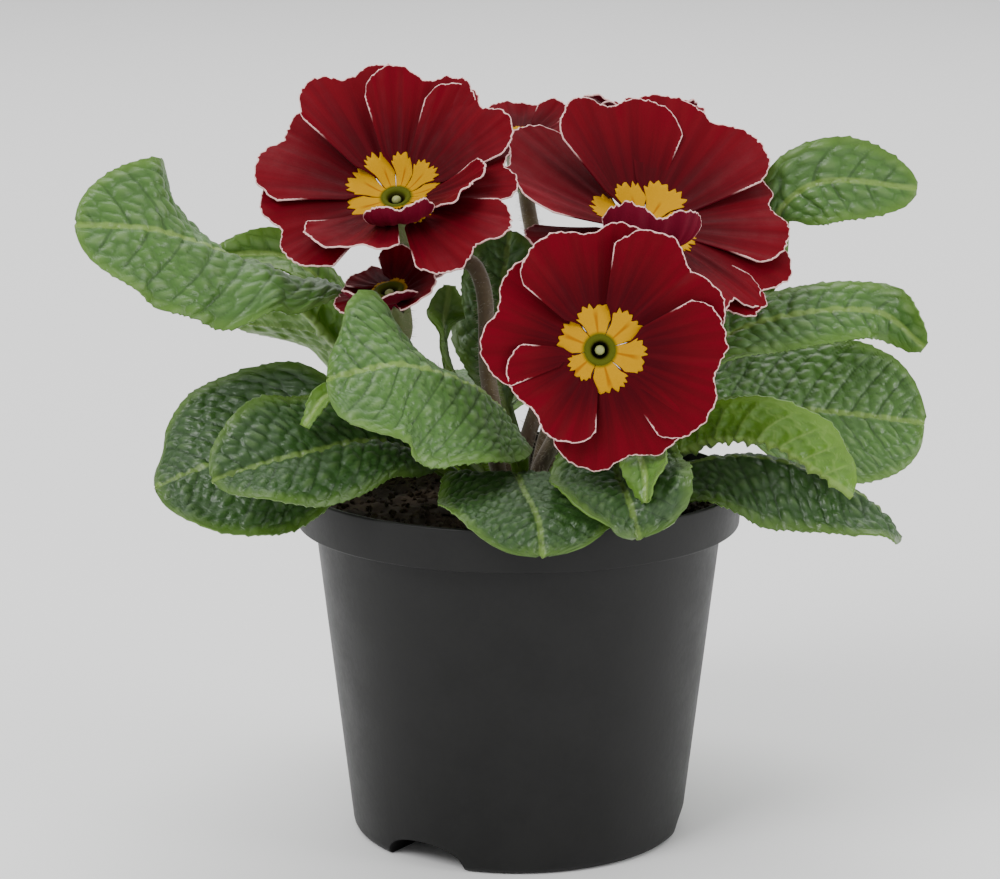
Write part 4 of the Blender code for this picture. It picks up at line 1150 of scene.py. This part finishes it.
def toothed_reach(sizes, share, size, hand, half, length, stalk, seed):
    """How far points are from the midrib, with teeth of uneven size that lean towards the tip and
    broad shallow lobes. share is from base to tip, and size from midrib to margin."""
    along = share * length
    place = along / (sizes.tooth_spacing / MM)
    tooth_at = place + TOOTH_DRIFT * drift(place / 2.3, seed + 11) + TOOTH_OFFSET * (hand > 0)
    tooth = np.mod(tooth_at, 1) ** 1.6 * (0.65 + 0.35 * drift(tooth_at - np.mod(tooth_at, 1), seed + 5))
    blade_near = ease(share, stalk, stalk + 0.15) * ease(share, 1.0, 0.97)
    lobes = LOBE_DEPTH * drift(along / LOBE_LENGTH, seed + 21 + (hand > 0)) * half * blade_near
    return size * half + size**6 * (tooth * sizes.tooth / MM * blade_near + lobes)


def puckered(sizes, run, cell, across, size, half, grow, spacing, seed):
    """How far the upper face stands out, with puffed cells between grooved veins, and how much of a
    side vein each point is."""
    off_vein = np.abs(np.mod(run + 0.5, 1) - 0.5) * spacing
    room = grow * ease(half, 3.0, 9.0) * ease(half * (1 - size), 0.2, 3.0)
    uneven = hashed(np.floor(run * 2), np.floor(across / CELL_WIDTH), seed)
    puff = ease(cell, 0.0, 0.7) * (0.7 + 0.3 * uneven)
    middle = np.exp(-((across / MIDRIB_GROOVE) ** 2))
    side_vein = np.exp(-((off_vein / VEIN_GROOVE) ** 2)) * (1 - 0.5 * size)
    swell = room * (sizes.pucker / MM * puff - sizes.groove / MM * side_vein)
    return swell - MIDRIB_DEPTH * middle * grow, room * side_vein


def leaf_shape(sizes, foot, way, wide, roll=0, left=(0, 0), right=(0, 0), stalk=0.25, peak=0.6,
               wing=2.4, wave=1.2, waves=2.5, phase=0.0, fine=1.0, seed=0):
    """A leaf's closed shell. left and right are each side's lift and curl in degrees as seen from the
    crown, each one value or several from base to tip; roll turns the blade about its midrib."""
    start = np.array([foot[0], foot[1], CROWN_Z])
    length = smooth_path([start, *way], (0, 0, 1), None, [0])[2]
    rows = int(length / LEAF_ROW * fine)
    columns = 2 * int((9 + wide * 1.15) * fine)
    shares = np.linspace(0, 1, rows + 1)
    places, forward, length = smooth_path([start, *way], (0, 0, 1), None, shares)
    facing = AIM_POINT - places
    facing = unit(facing - (facing * forward).sum(1)[:, None] * forward)
    facing = turned(facing, forward, blend(roll, shares))
    beside = np.cross(forward, facing)
    half = blade_width(shares, wide, stalk, peak, wing)[:, None]
    grow = np.clip((shares - stalk * BLADE_START) / BLADE_OPENING, 0, 1)[:, None]
    spread = np.linspace(-1, 1, columns + 1)
    sides = crowded(spread, LEAF_CROWDING)
    share = shares[:, None]
    size = np.abs(sides)
    hand = np.sign(sides)
    along = share * length
    across = toothed_reach(sizes, share, size, hand, half, length, stalk, seed)
    lift, curl = (
        np.where(hand < 0, blend(first, shares)[:, None], blend(second, shares)[:, None]) * grow
        for first, second in zip(left, right)
    )
    out, up = half_arc(across + 1e-6, lift, curl, half)
    ripple = wave * size**RIPPLE_EDGE * np.sin(2 * np.pi * waves * share + phase + (hand > 0))
    crimp = CRIMP * size**4 * drift(along / CRIMP_LENGTH + 40 * (hand > 0), seed + 31)
    up = up + (ripple + crimp) * grow
    base = places[:, None] + beside[:, None] * (hand * out)[..., None] + facing[:, None] * up[..., None]
    along_step, across_step = np.gradient(base, axis=0), np.gradient(base, axis=1)
    normal = unit(np.cross(across_step, along_step))
    spacing = length / SIDE_VEINS
    run = (along - VEIN_SLOPE * across - VEIN_BEND * across**2) / spacing + 0.5 * (hand > 0)
    cell = vein_cells(run, across, hand, seed)
    relief, side_vein = puckered(sizes, run, cell, across, size, half, grow, spacing, seed)
    top = base + normal * relief[..., None]
    round_stalk = np.sqrt(np.clip(1 - 0.85 * size**2, 0, 1))
    thick = sizes.thickness / MM + (PETIOLE_DEPTH * round_stalk - sizes.thickness / MM) * (1 - grow)
    thick = thick + RIB_DEPTH * (1 - share) * np.exp(-((across / RIB_WIDTH) ** 2)) * grow
    thick = thick + VEIN_RISE * side_vein
    low = top - normal * thick[..., None]
    # The stalk's foot stands in the middle of its socket
    middle_of_foot = (top[0].mean(0) + low[0].mean(0)) / 2
    shift = np.array([foot[0] - middle_of_foot[0], foot[1] - middle_of_foot[1], 0])
    settle_share = np.clip(1 - share / FOOT_SHIFT_END, 0, 1)[..., None]
    top, low = top + shift * settle_share, low + shift * settle_share
    top, low = (np.concatenate([grid[:1] * [1, 1, 0] + [0, 0, FOOT_Z], grid]) for grid in (top, low))
    brim = across[:, -1:] * (hand > 0) + across[:, :1] * (hand <= 0)
    edge = np.minimum(brim - across, length * (1 - share))

    def stretched(grid):
        grid = np.broadcast_to(grid, base.shape[:2])
        return np.concatenate([grid[:1], grid])

    marks = {
        "cell": cell, "edge": np.clip(edge, 0, 8), "run": run,
        "u": along / UV_SIZE, "v": hand * across / UV_SIZE,
    }
    marks = {key: (stretched(value),) * 2 for key, value in marks.items()}
    return shell(top, low, {"under": (0, 1), **marks})


class PRIMROSE_OT_leaves(bpy.types.Operator):
    """Make the rosette's leaves"""

    bl_idname = "primrose.leaves"
    bl_label = "Leaves"

    def execute(self, context):
        sizes = context.scene.primrose_leaf
        tree = leaf_tree()
        finishes = {
            age: leaf_material(name, tree, colour, sizes, vein_share, bloom)
            for age, name, colour, vein_share, bloom in (
                # The last value of each is how much painted sheen greys the raised cells
                ("mid", "leaf_green", sizes.top_colour, 0.6, 0.5),
                # The dark finish paints shade on the low leaves
                ("dark", "leaf_shaded_green", sizes.low_shade_colour, 0.45, 0.25),
                ("young", "leaf_young_green", sizes.young_colour, 0.6, 0.4),
            )
        }
        for k, plan in enumerate(LEAVES):
            plan = dict(plan)
            name, age = plan.pop("name"), plan.pop("age", "mid")
            made = mesh_object(f"blade_{name}", [leaf_shape(sizes, seed=k, **plan)], finishes[age])
            settle(made, "leaf", f"leaf_{name}")
        return {"FINISHED"}


def petal_run(far, long, rise, curl):
    """Distance from the bloom's axis, height and slope after each distance far along a petal."""
    fine = np.linspace(0, max(long, float(np.max(far))) - MOUTH_RADIUS, 60)
    bent = (fine / (long - MOUTH_RADIUS)) ** CURL_DELAY
    slope = np.radians(rise * np.clip(fine / MOUTH_RADIUS, 0, 1) + curl * bent)
    steps = np.diff(fine)
    middle = (slope[1:] + slope[:-1]) / 2
    radius = MOUTH_RADIUS + np.concatenate([[0], np.cumsum(np.cos(middle) * steps)])
    height = np.concatenate([[0], np.cumsum(np.sin(middle) * steps)])
    want = np.asarray(far) - MOUTH_RADIUS
    return (np.interp(want, fine, g) for g in (radius, height, slope))


def shares_of_circle(plan):
    """How far each petal reaches to its two neighbours: half of each angle between them."""
    count = len(plan)
    ahead = [(plan[(k + 1) % count][0] - plan[k][0]) % 360 / 2 for k in range(count)]
    return [(ahead[k - 1], ahead[k]) for k in range(count)]


def petal_points(petal, halves, far, side, above=0.0):
    """Points on one petal's upper face, above it by a little where asked, at distances far from the
    mouth's centre and at side from -1 to 1 across it."""
    azimuth, long, rise, curl, fan = petal
    radius, height, slope = petal_run(far, long, rise, curl)
    share = np.clip((far - MOUTH_RADIUS) / (long - MOUTH_RADIUS), 0, 1)
    base = np.where(np.asarray(side) < 0, halves[0], halves[1])
    parting = PETAL_PARTING * np.sin(np.pi * np.minimum(share * 6, 1))
    outer = np.clip((share - OVERLAP_FROM) / OVERLAP_FROM, 0, 1)
    spread = np.radians(base + PETAL_OVERLAP * outer - parting)
    swing = spread * side * (far / radius) ** (outer / 2)
    tilt = np.tan(np.radians(fan)) * far * np.sin(spread * side) * np.clip(share * 4, 0, 1)
    ruffle = RUFFLE * share**2 * np.sin(RUFFLE_WAVES * side + azimuth)
    off = tilt + ruffle + above
    angle = np.radians(azimuth) + swing
    across = radius - off * np.sin(slope)
    return np.stack([across * np.cos(angle), across * np.sin(angle), height + off * np.cos(slope)], -1)


def petal_edge(long, side, seed):
    """How far a petal reaches: heart shaped, with a shallow notch and a finely uneven edge."""
    size = np.abs(side)
    uneven = EDGE_WAVE * drift(side * 7, seed) + EDGE_NICK * drift(side * 26, seed + 1)
    return long * (1 - CORNER_ROUND * size**4 - PETAL_NOTCH * np.exp(-((size / NOTCH_WIDTH) ** 2)) + uneven)


def petal_shape(sizes, petal, halves, seed):
    """One petal's closed shell, with small waves that grow towards its edge."""
    spread = np.linspace(-1, 1, PETAL_COLUMNS + 1)
    side = crowded(spread, PETAL_CROWDING)
    t = np.linspace(0, 1, PETAL_ROWS + 1)[:, None]
    share = 1 - (1 - t) ** 1.35
    reach = petal_edge(petal[1], side, seed)
    far = MOUTH_RADIUS + (reach - MOUTH_RADIUS) * share
    side = np.broadcast_to(side, far.shape)
    frill = sizes.frill / MM * share**3
    waves = frill * (drift(side * 5 + share, seed + 3) + 0.5 * drift(side * 11 - share, seed + 4))
    creases = CREASE_HEIGHT * np.sin(side * CREASES + seed) * share * (1 - share) * 4
    above = waves + creases
    top = petal_points(petal, halves, far, side, above)
    low = petal_points(petal, halves, far, side, above - sizes.thickness / MM)
    half_width = np.radians(np.where(side < 0, halves[0], halves[1]) + PETAL_OVERLAP) * far
    edge = np.minimum(reach - far, half_width * (1 - np.abs(side)) + 3 * (1 - ease(share, 0.25, 0.4)))
    marks = {
        "under": (0, 1), "out": (share,) * 2, "edge": (np.clip(edge, 0, 6),) * 2,
        "u": (side * 0.15 + seed * 0.37,) * 2, "v": (far / UV_SIZE + seed * 0.11,) * 2,
    }
    return shell(top, low, marks, flip=True)


def tube_shape():
    """The narrow tube behind the petals."""
    profile = [
        (MOUTH_RADIUS + 0.4, -0.15), (MOUTH_RADIUS, -0.5), (TUBE_RADIUS + 0.3, -1.8), (TUBE_RADIUS, -3.4),
        (TUBE_RADIUS, -TUBE_LENGTH), (BORE_RADIUS + 0.3, -TUBE_LENGTH), (BORE_RADIUS + 0.3, -3.2),
        (MOUTH_RADIUS - 0.6, -0.6),
    ]
    marks = {"under": 1, "out": 0.2, "edge": 6, "u": 0, "v": 0}
    return lathe(profile[::-1], TUBE_SIDES, {name: [value] * len(profile) for name, value in marks.items()})


def eye_shape(plan, halves):
    """The star of lobes round the mouth with its throat, just above the petals."""
    shapes = []
    for k, petal in enumerate(plan):
        spread = np.linspace(-1, 1, EYE_COLUMNS + 1)[None]
        size = np.abs(spread)
        lobe = 1 - LOBE_TAPER * size**2.6 - LOBE_GAP * ease(size, 0.86, 1.0)
        lobe = lobe - LOBE_NOTCH * np.exp(-((size / LOBE_NOTCH_WIDTH) ** 2))
        tooth_at = spread * EYE_TEETH / 2 + 0.3 * drift(spread * 3, k + 50)
        tooth = 1 - np.abs(np.mod(tooth_at, 1) - 0.5) * 2
        lobe = lobe + (EYE_TOOTH + EYE_TOOTH_VARIES * drift(np.floor(tooth_at), k + 70)) * (tooth - 0.5)
        reach = EYE_SHARE * petal[1] * (1 - CURL_SHORTENS * max(petal[3], 0)) * lobe
        reach = np.maximum(reach, MOUTH_RADIUS * 1.4)
        t = np.linspace(0, 1, EYE_ROWS + 1)[:, None]
        inner = MOUTH_RADIUS * 0.98
        far = inner + (reach - inner) * t
        side = np.broadcast_to(spread * EYE_WIDTH, far.shape)
        above = EYE_LIFT + CURL_LIFTS * max(petal[3], 0) * t + EYE_RISE * (1 - t) ** 2
        top = petal_points(petal, halves[k], far, side, above)
        low = petal_points(petal, halves[k], far, side, above - EYE_THICKNESS)
        marks = {"reach": (far,) * 2, "side": (side,) * 2}
        shapes.append(shell(top, low, marks, flip=True))
    throat = [
        (MOUTH_RADIUS + 0.5, 0.3), (MOUTH_RADIUS, 0.5), (MOUTH_RADIUS - 0.5, 0.42),
        (MOUTH_RADIUS - 0.95, 0.0), (MOUTH_RADIUS - 1.3, -1.3), (BORE_RADIUS + 0.1, -3.2),
        (BORE_RADIUS, -9.0), (BORE_RADIUS + 0.25, -9.0), (BORE_RADIUS + 0.35, -3.2),
        (MOUTH_RADIUS - 1.1, -1.5), (MOUTH_RADIUS - 0.3, -0.5),
    ]
    marks = {"reach": [radius for radius, _ in throat], "side": [1.0] * len(throat)}
    shapes.append(lathe(throat, THROAT_SIDES, marks))
    return shapes


def pistil_shape():
    """The thin style with its round stigma, which shows in the throat."""
    tip = [
        (STIGMA_RADIUS * math.cos(a), -STIGMA_DEPTH + STIGMA_RADIUS * STIGMA_FLATNESS * math.sin(a))
        for a in np.linspace(-1.1, 1.45, 12)
    ]
    profile = [(0, -TUBE_LENGTH), (STYLE_RADIUS, -TUBE_LENGTH), (STYLE_RADIUS, -2.2), *tip, (0, 0.12)]
    return lathe(profile, PISTIL_SIDES, {})


def at_mouth(shapes, mouth, axis):
    """Shapes moved to a bloom's mouth and turned to face along its axis."""
    turn = np.array(Vector(unit(axis)).to_track_quat("Z", "Y").to_matrix())
    return [(points @ turn.T + np.asarray(mouth, float), faces, values) for points, faces, values in shapes]


class PRIMROSE_OT_blooms(bpy.types.Operator):
    """Make each bloom's petals, eye and pistil"""

    bl_idname = "primrose.blooms"
    bl_label = "Blooms"

    def execute(self, context):
        sizes = context.scene.primrose_bloom
        velvet, yellow = petal_material(sizes), eye_material(sizes)
        green = simple_material(
            "stigma_green", sizes.stigma_colour, [c * 0.8 for c in sizes.stigma_colour], (0.35, 0.5),
            scale=2500.0, depth=0.0001,
        )
        for number, plan in enumerate(BLOOMS):
            around = plan["plan"]
            halves = shares_of_circle(around)
            petals = [
                petal_shape(sizes, petal, halves[k], 10 * number + k) for k, petal in enumerate(around)
            ]
            for kind, shapes, finish, weld, slot, node in (
                ("corolla", [*petals, tube_shape()], velvet, WELD, "petal", "petals"),
                ("star", eye_shape(around, halves), yellow, WELD, "eye", "eye"),
                ("pistil", [pistil_shape()], green, FINE_WELD, "pistil", "pistil"),
            ):
                shapes = at_mouth(shapes, plan["mouth"], plan["axis"])
                made = mesh_object(f"{kind}_{plan['name']}", shapes, finish)
                outward(made, weld)
                settle(made, slot, f"bloom_{plan['name']}_{node}")
        return {"FINISHED"}


def stem_shape(radius, foot, way, mouth, axis):
    """The flower stem from its socket, which ends in a five-angled, toothed calyx round the tube."""
    axis = unit(axis)
    base = np.asarray(mouth, float) - axis * (TUBE_LENGTH + CALYX_SEAT)
    start = np.array([foot[0], foot[1], CROWN_Z])
    places, forward, _ = smooth_path([start, *way, base], (0, 0, 1), axis, np.linspace(0, 1, STEM_ROWS))
    rings = [(np.array([foot[0], foot[1], FOOT_Z]), np.array([0, 0, 1.0]), radius, 0, 0, 0)]
    rings += [(place, ahead, radius, 0, 0, 0) for place, ahead in zip(places, forward)]
    outer = CALYX_RADIUS - CALYX_WALL
    cup = []
    for t in np.linspace(0.08, 1, 14):
        open_share = math.sin(t * math.pi / 2) ** 0.7
        cup.append((t, radius + (outer + CALYX_RIDGE - radius) * open_share + 0.3 * math.sin(t * math.pi)))
    cup += [(t, outer - CALYX_WALL * 0.3 - 0.7 * (1 - t)) for t in np.linspace(1, 0.25, 8)]
    for t, bulge in cup:
        tooth = CALYX_TOOTH * max(t - 0.5, 0) * 2
        rings.append((base + axis * t * CALYX_RIM, axis, bulge, CALYX_RIDGE * t, tooth, t))
    rings.append((base + axis * (CALYX_SEAT - GAP), axis, TUBE_RADIUS + GAP, 0, 0, 0.2))
    across = np.array([1.0, 0, 0])
    angles = np.arange(STEM_SIDES + 1) * math.tau / STEM_SIDES
    ridge = np.cos(angles * CALYX_TEETH)
    point_of_tooth = np.abs(((angles * CALYX_TEETH / math.tau) % 1) - 0.5) * 2
    grid, kind = [], []
    for place, ahead, out, angled, tooth, calyx in rings:
        across = unit(across - ahead * (across * ahead).sum())
        beside = np.cross(ahead, across)
        ring = out + angled * ridge
        round_ring = across * np.cos(angles)[:, None] + beside * np.sin(angles)[:, None]
        grid.append(place + round_ring * ring[:, None] + ahead * (tooth * point_of_tooth)[:, None])
        kind.append(np.full(len(angles), float(calyx > 0)))
    grid = np.array(grid)
    rows, columns = grid.shape[:2]
    index = np.arange(rows * columns).reshape(rows, columns)
    faces = [*grid_faces(rows, columns), index[0, -2::-1], index[-1, :-1]]
    return grid.reshape(-1, 3), faces, {"calyx": np.array(kind).ravel()}


def stem_material(sizes):
    """Rosy brown on the stem and green on its calyx, both speckled paler."""
    made, w, shader = new_material("stem_rosy")
    tone, specks = speckled(w, 1600.0, 1.0, w.place())
    colour = w.mix(w.attribute("calyx"), tuple(sizes.colour), tuple(sizes.calyx_colour))
    colour = w.mix(w.ramp(tone, 0.3, 0.7, 0.0, 0.5), colour, w.mix(0.5, colour, STEM_SPECK))
    w.put(shader.inputs["Base Color"], colour)
    bump(w, shader, specks, 0.4, 0.0002)
    shader.inputs["Roughness"].default_value = 0.55
    shader.inputs["Sheen Weight"].default_value = 0.4
    return made


class PRIMROSE_OT_stems(bpy.types.Operator):
    """Make the hairy flower stems with their calyces"""

    bl_idname = "primrose.stems"
    bl_label = "Stems"

    def execute(self, context):
        sizes = context.scene.primrose_stem
        finish = stem_material(sizes)
        hair = simple_material(
            "stem_hair", sizes.hair_colour, [c * 0.8 for c in sizes.hair_colour], (0.5, 0.6),
            scale=900.0, depth=0.00001,
        )
        tree = hair_tree()
        for number, plan in enumerate(BLOOMS):
            shape = stem_shape(sizes.radius / MM, plan["foot"], plan["way"], plan["mouth"], plan["axis"])
            made = mesh_object(f"stalk_{plan['name']}", [shape], finish)
            outward(made)
            grow_nodes(made, tree, {
                "Density": sizes.hair_density, "Hair Length": sizes.hair_length, "Seed": sizes.seed + number,
                "Finish": hair,
            })
            settle(made, "stem", f"bloom_{plan['name']}_stem")
        return {"FINISHED"}


def area_light(name, place, aim, size, power):
    """A square soft light that shines from its place to its aim."""
    light = bpy.data.lights.new(name, "AREA")
    light.shape = "SQUARE"
    light.size = size
    light.energy = power
    made = bpy.data.objects.new(name, light)
    made.location = place
    made.rotation_euler = (Vector(aim) - Vector(place)).to_track_quat("-Z", "Y").to_euler()
    bpy.context.scene.collection.objects.link(made)


class PRIMROSE_OT_stage(bpy.types.Operator):
    """Set up the floor, the soft light and the camera"""

    bl_idname = "primrose.stage"
    bl_label = "Stage"

    def execute(self, context):
        sizes = context.scene.primrose_stage
        half = sizes.floor_size / 2
        mesh = bpy.data.meshes.new("floor")
        corners = [(-half, -half, 0), (half, -half, 0), (half, half, 0), (-half, half, 0)]
        mesh.from_pydata(corners, [], [(0, 1, 2, 3)])
        floor = bpy.data.objects.new("floor", mesh)
        context.scene.collection.objects.link(floor)
        paint, _, shader = new_material("floor_paper")
        shader.inputs["Base Color"].default_value = (*sizes.floor_colour, 1.0)
        shader.inputs["Roughness"].default_value = 0.9
        mesh.materials.append(paint)
        world = bpy.data.worlds.new("studio")
        world.use_nodes = True
        sky = world.node_tree.nodes["Background"]
        sky.inputs["Color"].default_value = (1.0, 1.0, 1.0, 1.0)
        sky.inputs["Strength"].default_value = sizes.sky
        context.scene.world = world
        for light in LIGHTS:
            area_light(*light)
        lens = bpy.data.cameras.new("camera")
        lens.lens = sizes.lens
        lens.sensor_width = SENSOR_WIDTH
        lens.clip_start = 0.01
        camera = bpy.data.objects.new("camera", lens)
        camera.location = CAMERA_PLACE
        camera.rotation_euler = (math.radians(CAMERA_TILT), 0, 0)
        context.scene.collection.objects.link(camera)
        context.scene.camera = camera
        return {"FINISHED"}


class PRIMROSE_PT_panel(bpy.types.Panel):
    """Lists the plant's parts"""

    bl_idname = "PRIMROSE_PT_panel"
    bl_label = "Primrose"
    bl_space_type = "VIEW_3D"
    bl_region_type = "UI"
    bl_category = "Primrose"

    def draw(self, context):
        layout = self.layout
        for group, operator in PANEL_ROWS:
            box = layout.box()
            settings = getattr(context.scene, group)
            for name in settings.__annotations__:
                box.prop(settings, name)
            box.operator(operator)


GROUPS = {
    "primrose_pot": PotSettings, "primrose_peat": PeatSettings, "primrose_leaf": LeafSettings,
    "primrose_bloom": BloomSettings, "primrose_stem": StemSettings, "primrose_stage": StageSettings,
}
OPERATORS = (
    PRIMROSE_OT_pot, PRIMROSE_OT_peat, PRIMROSE_OT_leaves, PRIMROSE_OT_blooms, PRIMROSE_OT_stems,
    PRIMROSE_OT_stage,
)
PANEL_ROWS = [(group, operator.bl_idname) for group, operator in zip(GROUPS, OPERATORS)]


def register():
    for made in (*GROUPS.values(), *OPERATORS, PRIMROSE_PT_panel):
        bpy.utils.register_class(made)
    for name, group in GROUPS.items():
        setattr(bpy.types.Scene, name, bpy.props.PointerProperty(type=group))


def unregister():
    for name in GROUPS:
        delattr(bpy.types.Scene, name)
    for made in reversed((*GROUPS.values(), *OPERATORS, PRIMROSE_PT_panel)):
        bpy.utils.unregister_class(made)


def main():
    register()
    for piece in ("pot", "peat", "leaves", "blooms", "stems", "stage"):
        getattr(bpy.ops.primrose, piece)()


if __name__ == "__main__":
    main()
